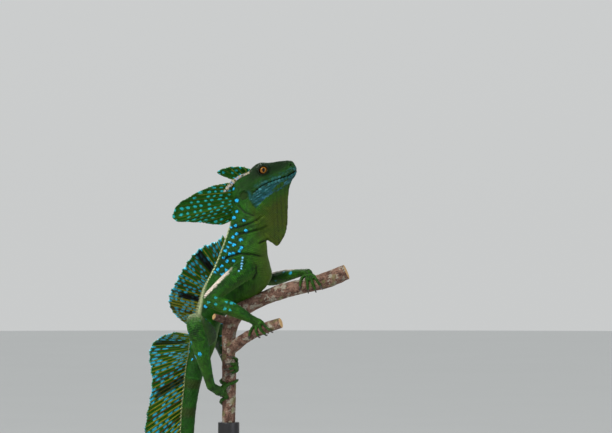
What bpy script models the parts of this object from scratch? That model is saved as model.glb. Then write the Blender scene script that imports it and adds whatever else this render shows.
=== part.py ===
"""Green basilisk at life size, holding a cut branch that stands on a plain display stand."""

import math

import bmesh
import bpy
import numpy as np

MM = 0.001

# Overall layout, millimetres. Positions below are measured from the lizard's own
# upright plane, and these two shifts bring the middle of the base to the origin.
SHIFT_X = 4.0
SHIFT_Y = 22.0
GAP = 0.3

# Display stand
BASE_WIDTH = 200.0
BASE_DEPTH = 150.0
BASE_THICK = 12.0
BASE_CHAMFER = 1.6
BOSS_RADIUS = 11.0
BOSS_HEIGHT = 9.0
ROD_RADIUS = 4.0
ROD_FOOT_DEPTH = 14.0
CUP_RADIUS = 8.0
CUP_DEPTH = 11.0

# Perch
STEM_X = -8.5
STEM_Y = 3.0
STEM_RADIUS = 5.0
STEM_BOTTOM = 323.0
PERCH_SIDES = 12
PERCH_PATH = [
    (STEM_X, STEM_Y, STEM_BOTTOM, 5.0),
    (STEM_X, STEM_Y, 340, 5.0),
    (-8.2, 3.2, 366, 5.3),
    (-8.6, 2.8, 386, 5.0),
    (-8.0, 3.0, 402, 5.4),
    (-3.6, 3.4, 413.5, 5.9),
    (6.0, 4.4, 421, 5.8),
    (18, 5.4, 426.6, 5.4),
    (34, 6.2, 432.4, 5.7),
    (52.5, 6.6, 436.8, 5.5),
    (66, 5.6, 440.6, 6.1),
    (80, 3.6, 446.5, 5.7),
]
SIDE_LIMB_PATH = [
    (-8.4, 2.9, 386, 3.4),
    (-3.0, -3.0, 391.5, 4.3),
    (4.5, -10.5, 397.5, 4.0),
    (14, -17.0, 402.6, 3.9),
    (23, -21.0, 406.4, 4.1),
    (31, -23.6, 409.0, 3.8),
]
STUB_PATH = [
    (-7.0, 2.6, 407, 3.2),
    (-12.5, -1.5, 410.5, 2.9),
    (-19.5, -6.0, 413.0, 2.5),
]

# Head: its own axes start at the ear and run forward and up
EAR_X = 2.55
EAR_Z = 503.3
HEAD_TILT = math.radians(29)
EYE_FORWARD = 22.3
EYE_UP = 9.7
EYE_OUT = 5.9
EYE_RADIUS = 4.3
LID_OPENING = (3.25, 2.85)
EAR_RADIUS = 3.4

# Forward and up at the top line, forward and up at the underside, half width,
# narrowing toward the top, squareness
HEAD_STATIONS = [
    (45.4, 1.8, 45.3, 0.6, 0.9, 0.0, 1.0),
    (45.2, 4.0, 44.9, -1.6, 3.4, 0.05, 0.9),
    (44.2, 5.9, 43.8, -3.8, 5.2, 0.1, 0.82),
    (41.6, 7.6, 41.0, -5.9, 6.7, 0.16, 0.78),
    (38.0, 9.1, 37.4, -7.3, 7.9, 0.22, 0.78),
    (33.5, 10.7, 33.2, -8.4, 9.1, 0.25, 0.78),
    (28.5, 12.8, 28.5, -9.0, 10.2, 0.26, 0.8),
    (23.5, 14.8, 23.5, -9.8, 11.6, 0.26, 0.8),
    (18.5, 15.2, 18.5, -10.5, 12.8, 0.26, 0.82),
    (13.0, 14.4, 13.2, -11.4, 13.8, 0.26, 0.85),
    (7.0, 13.6, 8.0, -12.4, 14.3, 0.26, 0.88),
    (1.0, 12.8, 4.0, -14.2, 14.0, 0.24, 0.9),
]

# Neck, trunk and tail: back line x, z; underside x, z; depth y; half width;
# narrowing toward the back; squareness
TRUNK_STATIONS = [
    (-2.8, 515.0, 12.9, 492.8, 0, 14.0, 0.24, 0.9),
    (-5.8, 508.5, 13.8, 486.5, 0, 13.4, 0.22, 0.92),
    (-5.9, 498.0, 16.8, 480.3, 0, 12.5, 0.2, 0.95),
    (-6.4, 488.0, 19.0, 473.6, 0, 12.2, 0.2, 0.95),
    (-9.0, 478.3, 20.3, 466.6, 0, 12.9, 0.22, 0.95),
    (-12.0, 469.3, 20.9, 458.8, 0.6, 15.0, 0.25, 0.93),
    (-15.4, 460.3, 22.6, 450.6, 2.5, 17.0, 0.3, 0.9),
    (-19.0, 451.5, 23.6, 442.6, 6, 18.0, 0.32, 0.9),
    (-23.6, 442.6, 18.0, 434.6, 10.5, 18.4, 0.32, 0.9),
    (-28.1, 434.0, 7.5, 428.4, 15.5, 17.6, 0.32, 0.9),
    (-30.4, 425.0, -2.3, 422.6, 20.5, 16.2, 0.32, 0.9),
    (-32.3, 416.0, -10.3, 416.0, 25, 15.0, 0.3, 0.9),
    (-34.1, 408.0, -14.8, 408.4, 29, 14.0, 0.28, 0.92),
    (-36.4, 400.3, -17.2, 399.0, 33, 12.8, 0.22, 0.95),
    (-38.6, 392.8, -19.8, 388.8, 36, 10.6, 0.15, 0.97),
    (-39.8, 384.3, -22.8, 381.0, 38, 8.8, 0.1, 1.0),
    (-42.0, 372.3, -27.8, 370.0, 39, 7.1, 0.1, 1.0),
    (-43.1, 359.8, -31.3, 358.3, 40, 6.0, 0.1, 1.0),
    (-45.0, 343.3, -34.1, 342.5, 40.3, 5.4, 0.1, 1.0),
    (-46.0, 326.0, -35.6, 326.0, 40.6, 5.0, 0.1, 1.0),
    (-47.5, 290.0, -38.1, 290.0, 41, 4.5, 0.1, 1.0),
    (-47.6, 250.0, -39.2, 250.3, 41, 4.0, 0.1, 1.0),
    (-46.9, 210.0, -39.5, 210.8, 41, 3.5, 0.1, 1.0),
    (-44.2, 169.6, -37.8, 171.0, 41, 3.0, 0.1, 1.0),
    (-40.1, 129.3, -34.7, 130.9, 40.5, 2.5, 0.1, 1.0),
    (-33.2, 91.0, -28.8, 93.0, 40, 2.05, 0.1, 1.0),
    (-21.5, 56.6, -18.3, 58.9, 39, 1.7, 0.1, 1.0),
    (-5.0, 32.9, -3.1, 35.4, 38, 1.4, 0.1, 1.0),
    (13.5, 23.0, 13.9, 25.3, 36, 1.1, 0.1, 1.0),
    (31.6, 25.9, 30.7, 27.5, 34, 0.9, 0.1, 1.0),
    (42.6, 37.2, 41.4, 37.8, 32, 0.7, 0.1, 1.0),
    (45.6, 51.6, 44.6, 51.6, 31, 0.5, 0.1, 1.0),
]
# Station numbers, counted along the trunk list, where one node ends and the next begins
NECK_END = 4.6
TORSO_END = 13.6
TAIL_ENDS = [16.5, 19.5, 23.5]
TRUNK_SIDES = 22
TAIL_SIDES = 14

# Limbs: x, y, z, half thickness. The first point lies inside the body.
LIMBS = {
    "arm_right": [
        (6, -3, 450, 8.4),
        (1.4, -12.5, 446.6, 7.9),
        (-7.4, -18.4, 439.8, 7.0),
        (-15.6, -21.8, 432.8, 6.0),
        (-21.8, -22.8, 426.4, 5.4),
        (-16.6, -22.4, 423.6, 5.7),
        (-8, -21.8, 420.2, 5.5),
        (1, -20.8, 415.8, 4.5),
        (8.4, -19.6, 411.8, 3.4),
    ],
    "arm_left": [
        (2, 8, 455, 7.6),
        (5, 20, 451.5, 7.0),
        (11, 30, 446.0, 6.2),
        (17.0, 37.4, 441.6, 5.3),
        (22.8, 38.8, 440.4, 5.1),
        (28.2, 33.0, 441.4, 5.1),
        (34, 24.5, 443.2, 4.7),
        (40.5, 17.6, 444.6, 3.8),
        (46.0, 12.6, 445.6, 3.1),
    ],
    "leg_right": [
        (-27, 30, 398, 9.5),
        (-28, 18, 399.5, 9.2),
        (-29.6, 4, 403.0, 8.6),
        (-31.4, -11, 407.0, 7.4),
        (-33, -23.0, 409.6, 6.4),
        (-32.6, -26.6, 404.6, 6.1),
        (-29.6, -25.6, 395.0, 6.6),
        (-26.6, -22.6, 382.0, 5.3),
        (-23.4, -18.0, 369.0, 3.9),
        (-21.4, -14.6, 361.5, 3.5),
    ],
    "leg_left": [
        (-27, 36, 398, 9.5),
        (-27, 46, 399.5, 9.2),
        (-26, 56, 403.0, 8.6),
        (-24, 65, 408.0, 7.2),
        (-21.5, 73.0, 410.4, 6.3),
        (-19.2, 75.0, 402.4, 6.0),
        (-16.6, 66.4, 393.0, 6.2),
        (-13.6, 53.0, 386.5, 5.2),
        (-11.2, 40.6, 379.0, 3.9),
        (-10.0, 33.0, 375.8, 3.5),
    ],
}
LIMB_JOINTS = {
    "arm_right": 4.0,
    "arm_left": 4.0,
    "leg_right": 4.5,
    "leg_left": 4.5,
}
LIMB_NAMES = {
    "arm_right": ("upper_arm_right", "forearm_right", "hand_right"),
    "arm_left": ("upper_arm_left", "forearm_left", "hand_left"),
    "leg_right": ("thigh_right", "shin_right", "foot_right"),
    "leg_left": ("thigh_left", "shin_left", "foot_left"),
}
LIMB_SIDES = 12

# Fins: each pair gives a root point, then an edge point
CREST_REAR = [
    ((-2.2, 512.4), (-8.8, 512.9)),
    ((-1.8, 510.4), (-19.8, 510.9)),
    ((-1.6, 508.6), (-29.0, 507.4)),
    ((-1.4, 505.8), (-38.6, 502.3)),
    ((-1.2, 503.2), (-45.9, 497.9)),
    ((-1.0, 500.8), (-49.6, 493.3)),
    ((-1.0, 498.6), (-51.2, 487.6)),
    ((-1.2, 496.4), (-48.2, 484.6)),
    ((-1.4, 494.2), (-38.6, 484.0)),
    ((-1.6, 492.0), (-29.0, 483.6)),
    ((-1.8, 489.6), (-20.0, 482.0)),
    ((-2.2, 487.2), (-13.2, 482.0)),
    ((-2.8, 485.0), (-9.0, 484.6)),
]
CREST_RIDGE_PATH = [
    (-4.6, 0, 513.4, 1.0),
    (-7.0, 0, 511.9, 1.5),
    (-9.6, 0, 508.4, 1.6),
    (-11.4, 0, 503.6, 1.2),
    (-11.6, 0, 498.6, 0.7),
]
CREST_FRONT = [
    ((9.0, 518.6), (8.0, 523.6)),
    ((7.0, 517.4), (3.0, 525.2)),
    ((5.0, 516.2), (-3.0, 525.6)),
    ((3.4, 515.2), (-8.6, 525.2)),
    ((2.4, 514.2), (-13.6, 523.9)),
    ((2.0, 513.6), (-17.8, 521.6)),
    ((1.8, 513.0), (-14.6, 519.4)),
    ((1.6, 512.4), (-9.0, 517.4)),
]
THROAT_FAN = [
    ((34.5, 517.5), (39.3, 514.9)),
    ((30.5, 514.0), (37.4, 509.4)),
    ((25.6, 509.0), (36.5, 501.0)),
    ((20.6, 504.0), (36.2, 492.0)),
    ((15.6, 498.5), (36.0, 483.8)),
    ((11.5, 493.0), (35.0, 476.6)),
    ((10.5, 488.0), (32.6, 471.2)),
    ((11.5, 483.0), (28.4, 465.8)),
    ((13.0, 478.5), (24.4, 467.8)),
    ((14.5, 474.5), (20.4, 470.2)),
]
# Back sail: station number along the trunk list, then the edge point
BACK_SAIL = [
    (5.2, (-13.0, 474.4)),
    (6.0, (-16.4, 470.2)),
    (6.7, (-22.7, 467.2)),
    (7.3, (-28.8, 464.8)),
    (7.85, (-34.0, 460.8)),
    (8.3, (-38.8, 455.8)),
    (8.7, (-42.6, 449.8)),
    (9.1, (-46.6, 444.2)),
    (9.5, (-49.6, 438.0)),
    (9.95, (-52.8, 432.4)),
    (10.5, (-54.6, 426.8)),
    (11.05, (-54.4, 421.4)),
    (11.5, (-52.6, 416.4)),
    (11.85, (-49.4, 412.0)),
    (12.15, (-45.8, 409.0)),
    (12.4, (-42.0, 406.4)),
]
TAIL_SAIL = [
    (13.3, (-50.5, 400.0)),
    (13.7, (-61.5, 396.0)),
    (14.1, (-68.6, 389.6)),
    (14.6, (-70.4, 381.4)),
    (15.1, (-69.4, 372.6)),
    (15.7, (-68.2, 362.8)),
    (16.4, (-69.2, 351.2)),
    (17.2, (-71.6, 338.6)),
    (17.9, (-73.4, 325.4)),
    (18.6, (-72.6, 310.8)),
    (19.15, (-70.2, 296.0)),
    (19.6, (-66.2, 281.6)),
    (20, (-61.2, 268.2)),
    (20.4, (-55.6, 256.4)),
    (20.8, (-50.6, 247.4)),
]
FAN_ROOT_HALF = 9.0
FAN_EDGE_HALF = 0.6
BACK_RAYS = 17
TAIL_RAYS = 16
CREST_RAYS = 10
SAIL_ROWS = 6

COLOURS = {
    "skin": (0.06, 0.2, 0.03, 1),
    "fin": (0.1, 0.16, 0.03, 1),
    "eye": (0.5, 0.2, 0.02, 1),
    "bark": (0.2, 0.13, 0.1, 1),
    "stand": (0.04, 0.04, 0.045, 1),
}


def clear_scene():
    for obj in list(bpy.data.objects):
        bpy.data.objects.remove(obj)


def new_collection(name, hidden):
    group = bpy.data.collections.new(name)
    bpy.context.scene.collection.children.link(group)
    group.hide_render = hidden
    return group


def world(points):
    """Millimetres in the lizard's own plane, to metres about the middle of the base."""
    points = np.asarray(points, float).reshape(-1, 3)
    return (points - np.array([SHIFT_X, SHIFT_Y, 0])) * MM


def unit(vectors):
    vectors = np.asarray(vectors, float)
    return vectors / np.maximum(np.linalg.norm(vectors, axis=-1, keepdims=True), 1e-9)


def smooth(table, t):
    """Values of a table at fractional row numbers, on a curve through every row."""
    table = np.asarray(table, float)
    t = np.clip(np.atleast_1d(np.asarray(t, float)), 0, len(table) - 1)
    i = np.minimum(t.astype(int), len(table) - 2)
    f = (t - i)[:, None]
    p1, p2 = table[i], table[i + 1]
    p0 = np.where(i[:, None] > 0, table[np.maximum(i - 1, 0)], 2 * p1 - p2)
    last = i[:, None] + 2 > len(table) - 1
    p3 = np.where(last, 2 * p2 - p1, table[np.minimum(i + 2, len(table) - 1)])
    m1, m2 = (p2 - p0) / 2, (p3 - p1) / 2
    f2, f3 = f * f, f * f * f
    return p1 * (2 * f3 - 3 * f2 + 1) + m1 * (f3 - 2 * f2 + f) + p2 * (3 * f2 - 2 * f3) + m2 * (f3 - f2)


def make_object(name, points, faces, group, colour):
    mesh = bpy.data.meshes.new(name)
    mesh.from_pydata([tuple(p) for p in world(points)], [], [tuple(int(i) for i in f) for f in faces])
    bm = bmesh.new()
    bm.from_mesh(mesh)
    bmesh.ops.recalc_face_normals(bm, faces=bm.faces)
    bm.to_mesh(mesh)
    bm.free()
    obj = bpy.data.objects.new(name, mesh)
    group.objects.link(obj)
    material = bpy.data.materials.new(name)
    material.use_nodes = True
    material.node_tree.nodes["Principled BSDF"].inputs["Base Color"].default_value = COLOURS[colour]
    mesh.materials.append(material)
    if group.hide_render:
        obj.hide_render = True
        obj.display_type = "WIRE"
    return obj


def loft(rings):
    """Points and triangles of a closed body through a row of rings, with a flat fan at each end."""
    rings = np.asarray(rings, float)
    count, sides = rings.shape[:2]
    points = np.concatenate([rings.reshape(-1, 3), [rings[0].mean(0), rings[-1].mean(0)]])
    faces = []
    for i in range(count - 1):
        for j in range(sides):
            a, b = i * sides + j, i * sides + (j + 1) % sides
            faces.append((a, b, b + sides))
            faces.append((a, b + sides, a + sides))
    first, last = count * sides, count * sides + 1
    for j in range(sides):
        k = (j + 1) % sides
        faces.append((first, k, j))
        faces.append((last, (count - 1) * sides + j, (count - 1) * sides + k))
    return points, faces


def tube_rings(path, t, sides, grow=0.0, reach=0.05):
    """Round rings along a path whose rows are x, y, z and half thickness."""
    values = smooth(path, t)
    near = np.maximum(values[:, 3:4], 0.05) + grow
    before = smooth(path, np.asarray(t) - reach)[:, :3]
    after = smooth(path, np.asarray(t) + reach)[:, :3]
    tangent = unit(after - before)
    side = np.zeros_like(tangent)
    previous = np.array([0.1, 1.0, 0.2])
    for i, direction in enumerate(tangent):
        previous = unit(previous - direction * (previous @ direction))
        side[i] = previous
    up = np.cross(tangent, side)
    angle = np.linspace(0, 2 * math.pi, sides, endpoint=False)
    around = side[:, None] * np.cos(angle)[None, :, None]
    around = around + up[:, None] * np.sin(angle)[None, :, None]
    return values[:, None, :3] + around * near[:, None]


def body_rings(stations, t, angles, grow=0.0):
    """Rings of the neck, trunk and tail, with their centres and sideways directions."""
    v = smooth(stations, t)
    back = np.stack([v[:, 0], v[:, 4], v[:, 1]], 1)
    under = np.stack([v[:, 2], v[:, 4], v[:, 3]], 1)
    centre = (back + under) / 2
    before = smooth(stations, np.asarray(t) - 0.1)
    after = smooth(stations, np.asarray(t) + 0.1)
    run = np.stack([after[:, 0] + after[:, 2], 2 * after[:, 4], after[:, 1] + after[:, 3]], 1)
    run = run - np.stack([before[:, 0] + before[:, 2], 2 * before[:, 4], before[:, 1] + before[:, 3]], 1)
    up = unit(back - under)
    side = unit(np.cross(unit(run), up))
    half = np.linalg.norm(back - under, axis=1) / 2 + grow
    sine, cosine = np.sin(angles), np.cos(angles)
    wide = np.sign(cosine)[None] * np.abs(cosine)[None] ** v[:, 7:8]
    wide = wide * (1 - v[:, 6:7] * (sine[None] + 1) / 2) * (v[:, 5:6] + grow)
    tall = sine[None] * half[:, None]
    rings = centre[:, None] + side[:, None] * wide[..., None] + up[:, None] * tall[..., None]
    return rings, centre, side


def ring_angles(sides):
    return -math.pi / 2 + np.linspace(0, 2 * math.pi, sides, endpoint=False)


def head_point(forward, up, out=0.0):
    forward, up = np.asarray(forward, float), np.asarray(up, float)
    x = EAR_X + forward * math.cos(HEAD_TILT) - up * math.sin(HEAD_TILT)
    z = EAR_Z + forward * math.sin(HEAD_TILT) + up * math.cos(HEAD_TILT)
    return np.stack([x, np.broadcast_to(out, x.shape), z], -1)


def mouth_height(forward):
    return np.interp(forward, [-4, 4, 12, 18, 27, 37, 44, 46.6], [-3.4, -2.4, -0.7, 0.1, -1.2, -3.0, -2.2, -0.6])


def bump(forward, up, at_forward, at_up, wide, tall):
    return np.exp(-(((forward - at_forward) / wide) ** 2) - ((up - at_up) / tall) ** 2)


def head_relief(forward, up, top):
    """How far the side of the head stands out past its plain outline."""
    mouth = mouth_height(forward)
    fade = np.clip((forward - 4) / 6, 0, 1) * np.clip((46.3 - forward) / 3, 0, 1)
    scallop = 0.8 + 0.2 * np.cos(2 * math.pi * forward / 2.8)
    relief = -0.85 * np.exp(-(((up - mouth) / 0.45) ** 2)) * fade
    relief += 0.5 * np.exp(-(((up - mouth - 1.7) / 1.0) ** 2)) * fade * scallop
    relief += 0.45 * np.exp(-(((up - mouth + 1.7) / 1.0) ** 2)) * fade * scallop
    relief += 1.9 * bump(forward, up, 21, 14.2, 6.5, 2.0)
    relief += 0.7 * np.exp(-(((up - top + 2.6) / 1.3) ** 2)) * np.clip((forward - 26) / 4, 0, 1) * fade
    relief += 1.1 * bump(forward, up, 7, 3.5, 7, 5)
    relief += 0.8 * bump(forward, up, 3, 10.5, 6, 2.2)
    relief -= 1.3 * bump(forward, up, 42.3, 3.0, 1.1, 1.0)
    relief += 0.45 * bump(forward, up, 42.3, 3.0, 2.2, 2.0)
    relief -= 0.9 * bump(forward, up, 31, 4.5, 5, 2.6)
    return relief


def head_rings(grow=0.0, detail=True):
    """Rings of the head. Three rows on each side follow the mouth line."""
    stations = np.array(HEAD_STATIONS)
    steps = np.concatenate([np.linspace(0, 3, 6), np.linspace(3.4, 11, 19)])
    v = smooth(stations, steps)
    rings = []
    for row in v:
        top, bottom = row[0:2], row[2:4]
        centre, half = (top + bottom) / 2, np.linalg.norm(top - bottom) / 2 + grow
        up = (top - bottom) / np.linalg.norm(top - bottom)
        sine_mouth = np.clip((mouth_height(centre[0]) - centre[1]) / half, -0.6, 0.6)
        mouth = math.asin(sine_mouth)
        step = math.asin(min(0.5, 0.62 / half)) if detail else 0.1
        low = np.linspace(-math.pi / 2, mouth - step, 6)[1:]
        high = np.linspace(mouth + step, math.pi / 2, 10)[:-1]
        angles = np.concatenate([low, [mouth], high])
        sine, cosine = np.sin(angles), np.abs(np.cos(angles))
        wide = cosine ** row[6] * (1 - row[5] * (sine + 1) / 2) * (row[4] + grow)
        forward = centre[0] + up[0] * half * sine
        height = centre[1] + up[1] * half * sine
        if detail:
            wide = np.maximum(wide + head_relief(forward, height, top[1]) * np.clip(cosine * 2, 0, 1), 0.2)
        left = head_point(forward, height, wide)
        right = head_point(forward, height, -wide)
        low_point = head_point(*(centre - up * half))
        high_point = head_point(*(centre + up * half))
        rings.append(np.concatenate([[low_point], left, [high_point], right[::-1]]))
    return np.array(rings)


def ball(name, centre, radii, group, colour, rows=12, sides=20, turn=0.0):
    """An ellipsoid with its poles toward the camera side. Radii run along, across and up the head."""
    angle = np.linspace(0, 2 * math.pi, sides, endpoint=False)
    cos_turn, sin_turn = math.cos(turn), math.sin(turn)
    rings = []
    for pole in np.linspace(0.04, math.pi - 0.04, rows):
        along = radii[0] * math.sin(pole) * np.cos(angle)
        up = radii[2] * math.sin(pole) * np.sin(angle)
        out = np.full(sides, radii[1] * math.cos(pole))
        x = along * cos_turn - up * sin_turn
        z = along * sin_turn + up * cos_turn
        rings.append(np.stack([x, out, z], 1) + np.array(centre))
    return make_object(name, *loft(rings), group, colour)


def cylinder(name, start, end, radii, group, colour, sides=24, turn=0.0):
    angle = np.linspace(0, 2 * math.pi, sides, endpoint=False)
    cos_turn, sin_turn = math.cos(turn), math.sin(turn)
    along, up = radii[0] * np.cos(angle), radii[1] * np.sin(angle)
    ring = np.stack([along * cos_turn - up * sin_turn, 0 * along, along * sin_turn + up * cos_turn], 1)
    return make_object(name, *loft([ring + np.array(start), ring + np.array(end)]), group, colour)


def lathe(name, profile, centre, group, colour, sides=24):
    angle = np.linspace(0, 2 * math.pi, sides, endpoint=False)
    rings = []
    for radius, height in profile:
        rings.append(np.stack([radius * np.cos(angle), radius * np.sin(angle), np.full(sides, height)], 1))
    return make_object(name, *loft(np.array(rings) + np.array(centre)), group, colour)


def boolean(obj, other, operation, solver="EXACT"):
    modifier = obj.modifiers.new(operation.lower(), "BOOLEAN")
    modifier.operation = operation
    modifier.solver = solver
    if isinstance(other, bpy.types.Collection):
        modifier.operand_type = "COLLECTION"
        modifier.collection = other
    else:
        modifier.object = other


def bake(obj):
    """Turns the modifiers into plain triangles and keeps the largest closed surface."""
    bpy.context.view_layer.update()
    graph = bpy.context.evaluated_depsgraph_get()
    mesh = bpy.data.meshes.new_from_object(obj.evaluated_get(graph))
    obj.modifiers.clear()
    bm = bmesh.new()
    bm.from_mesh(mesh)
    bmesh.ops.remove_doubles(bm, verts=bm.verts, dist=0.0000001)
    bmesh.ops.triangulate(bm, faces=bm.faces)
    groups = []
    left = set(bm.faces)
    while left:
        stack = [left.pop()]
        found = list(stack)
        while stack:
            face = stack.pop()
            for edge in face.edges:
                for other in edge.link_faces:
                    if other in left:
                        left.remove(other)
                        stack.append(other)
                        found.append(other)
        groups.append(found)
    groups.sort(key=lambda faces: sum(face.calc_area() for face in faces))
    small = [face for faces in groups[:-1] for face in faces]
    bmesh.ops.delete(bm, geom=small, context="FACES")
    loose = [vert for vert in bm.verts if not vert.link_faces]
    bmesh.ops.delete(bm, geom=loose, context="VERTS")
    bm.to_mesh(mesh)
    bm.free()
    obj.data = mesh
    return obj


def vane(name, root, edge, side, half, group, colour, rows=SAIL_ROWS, bulge=None):
    """A thin fin between a root line and an edge line. Both faces are split alike."""
    root, edge, side = np.asarray(root), np.asarray(edge), np.asarray(side)
    count = len(root)
    share = np.linspace(0, 1, rows)
    middle = root[:, None] + (edge - root)[:, None] * share[None, :, None]
    if bulge is not None:
        middle = middle + side[:, None] * bulge[..., None]
    thick = side[:, None] * half[..., None]
    points = np.concatenate([(middle + thick).reshape(-1, 3), (middle - thick).reshape(-1, 3)])
    away = count * rows
    faces = []
    for i in range(count - 1):
        for j in range(rows - 1):
            a, b, c, d = i * rows + j, (i + 1) * rows + j, (i + 1) * rows + j + 1, i * rows + j + 1
            faces += [(a, b, c), (a, c, d), (away + a, away + c, away + b), (away + a, away + d, away + c)]
    border = [i * rows for i in range(count)]
    border += [(count - 1) * rows + j for j in range(1, rows)]
    border += [i * rows + rows - 1 for i in range(count - 2, -1, -1)]
    border += [j for j in range(rows - 2, 0, -1)]
    for a, b in zip(border, border[1:] + border[:1]):
        faces += [(a, away + a, away + b), (a, away + b, b)]
    return make_object(name, points, faces, group, colour)


def ray_columns(rays):
    """Where columns stand along a fin, and which of them carry a ray."""
    place, ridge = [], []
    for i in range(rays):
        place += [i, i + 0.5]
        ridge += [1.0, 0.0]
    place.append(rays)
    ridge.append(1.0)
    return np.array(place) / rays, np.array(ridge)


def ray_thickness(ridge, rows, root_half, edge_half, web_half):
    share = np.linspace(0, 1, rows)
    ray = root_half + (edge_half - root_half) * share
    return web_half + np.clip(ray[None] - web_half, 0, None) * ridge[:, None]


def flat_fin(name, pairs, rays, halves, scallop, group, colour, wave=0.0, rows=SAIL_ROWS):
    """A crest in the head's upright plane."""
    place, ridge = ray_columns(rays)
    line = np.array([(r[0], r[1], e[0], e[1]) for r, e in pairs])
    at = smooth(line, place * (len(line) - 1))
    zero = np.zeros(len(at))
    root = np.stack([at[:, 0], zero, at[:, 1]], 1)
    edge = np.stack([at[:, 2], zero, at[:, 3]], 1)
    edge = edge + unit(edge - root) * ((ridge - 0.5) * scallop)[:, None]
    half = ray_thickness(ridge, rows, *halves)
    share = np.linspace(0, 1, rows)
    bulge = wave * np.sin(place * 5.0)[:, None] * share[None] ** 1.5
    side = np.tile([0.0, 1.0, 0.0], (len(at), 1))
    return vane(name, root, edge, side, half, group, colour, rows, bulge)


def throat_fan(group, columns=12, rows=6):
    """The throat fan, full where it leaves the jaw and the neck and thin at its edge."""
    line = np.array([(r[0], r[1], e[0], e[1]) for r, e in THROAT_FAN])
    at = smooth(line, np.linspace(0, len(line) - 1, columns))
    zero = np.zeros(columns)
    root = np.stack([at[:, 0], zero, at[:, 1]], 1)
    edge = np.stack([at[:, 2], zero, at[:, 3]], 1)
    share = np.linspace(0, 1, rows)
    fold = 1 + 0.1 * np.cos(np.linspace(0, 5 * math.pi, columns))
    half = FAN_EDGE_HALF + (FAN_ROOT_HALF - FAN_EDGE_HALF) * (1 - share[None]) ** 1.5 * fold[:, None]
    side = np.tile([0.0, 1.0, 0.0], (columns, 1))
    bulge = 0.8 * np.sin(np.linspace(0, 4, columns))[:, None] * share[None] ** 1.5
    return vane("throat_fan", root, edge, side, half, group, "skin", rows, bulge)


def body_fin(name, pairs, rays, halves, scallop, group, wave, rows=SAIL_ROWS):
    """A sail along the back or the tail, in the body's own upright plane."""
    place, ridge = ray_columns(rays)
    line = np.array([(s, e[0], e[1]) for s, e in pairs])
    at = smooth(line, place * (len(line) - 1))
    rings, centre, side = body_rings(TRUNK_STATIONS, at[:, 0], np.array([math.pi / 2]))
    back = rings[:, 0]
    root = back + (centre - back) * 0.22
    edge = np.stack([at[:, 1], back[:, 1], at[:, 2]], 1)
    edge = edge + unit(edge - root) * ((ridge - 0.5) * scallop)[:, None]
    half = ray_thickness(ridge, rows, *halves)
    share = np.linspace(0, 1, rows)
    bulge = wave * np.sin(place * 9.0)[:, None] * share[None] ** 1.5
    return vane(name, root, edge, side, half, group, "fin", rows, bulge)


def limb_part(name, path, start, end, group, grow=0.0, steps=9):
    reach = 1.6 if len(path) > 9 else 1.0
    rings = tube_rings(path, np.linspace(start, end, steps), LIMB_SIDES, grow, reach)
    return make_object(name, *loft(rings), group, "skin")


def round_branch(path, t, angle, clear):
    """A point at an angle around a branch, this far off its surface. Angle 0 is up, 90 is toward the viewer."""
    at = smooth(path, t)[0]
    tangent = unit(smooth(path, t + 0.05)[0, :3] - smooth(path, t - 0.05)[0, :3])
    rise = np.array([0.0, 0.0, 1.0])
    if abs(tangent[2]) > 0.8:
        rise = np.array([-1.0, 0.0, 0.0])
    rise = unit(rise - tangent * (rise @ tangent))
    near = np.cross(rise, tangent)
    if near[1] > 0:
        near = -near
    turn = math.radians(angle)
    return at[:3] + (rise * math.cos(turn) + near * math.sin(turn)) * (at[3] + clear)


# Digits: where each starts on the branch, its angle there, where it ends, its angle
# there, half thickness. Lengths follow from the wrap.
HANDS = {
    "hand_right": dict(
        branch=SIDE_LIMB_PATH,
        wrist="arm_right",
        palm=((14.0, -18.0, 408.6), 3.5),
        digits=[
            (2.95, 20, 2.45, 118, 1.25),
            (3.15, 24, 3.0, 158, 1.3),
            (3.35, 20, 3.5, 172, 1.35),
            (3.5, 8, 4.1, 150, 1.3),
            (3.2, -20, 3.5, -128, 1.25),
        ],
    ),
    "hand_left": dict(
        branch=PERCH_PATH,
        wrist="arm_left",
        palm=((51.0, 8.6, 445.0), 3.6),
        digits=[
            (8.75, 0, 8.55, 100, 1.25),
            (8.95, 8, 8.85, 138, 1.3),
            (9.1, 8, 9.2, 150, 1.35),
            (9.2, 0, 9.6, 132, 1.3),
            (8.9, -22, 9.2, -112, 1.25),
        ],
    ),
    "foot_right": dict(
        branch=PERCH_PATH,
        wrist="leg_right",
        palm=((-15.6, -7.0, 357.4), 3.6),
        digits=[
            (1.85, 62, 2.02, -56, 1.35),
            (1.72, 62, 1.75, -82, 1.4),
            (1.6, 66, 1.46, -96, 1.45),
            (1.5, 78, 1.2, -80, 1.35),
            (1.85, 88, 1.98, 190, 1.3),
        ],
    ),
    "foot_left": dict(
        branch=PERCH_PATH,
        wrist="leg_left",
        palm=((-8.2, 15.0, 374.6), 3.6),
        digits=[
            (2.62, -140, 2.84, -255, 1.35),
            (2.52, -142, 2.56, -278, 1.4),
            (2.42, -142, 2.36, -290, 1.45),
            (2.36, -140, 2.18, -272, 1.35),
            (2.62, -110, 2.9, -18, 1.3),
        ],
    ),
}


def digit_rings(branch, start, palm, sides=6):
    """A finger from the palm round the branch, ending in a bent claw."""
    t0, a0, t1, a1, half = start
    rows = [(*palm, half * 1.25)]
    share = np.linspace(0, 1, 9)
    for i, s in enumerate(share):
        thick = half * (1.0 - 0.28 * s)
        swell = 1.12 if i in (2, 4, 6) else 1.0
        clear = thick * 0.72
        if s > 0.86:
            thick, swell = half * 0.52, 1.0
            clear = thick + 0.5
        t = t0 + (t1 - t0) * s
        rows.append((*round_branch(branch, t, a0 + (a1 - a0) * s, clear), thick * swell))
    over = math.copysign(15, a1 - a0)
    rows.append((*round_branch(branch, t1, a1 + over, 0.45), 0.28))
    return tube_rings(rows, np.linspace(0, len(rows) - 1, 8), sides)


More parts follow.
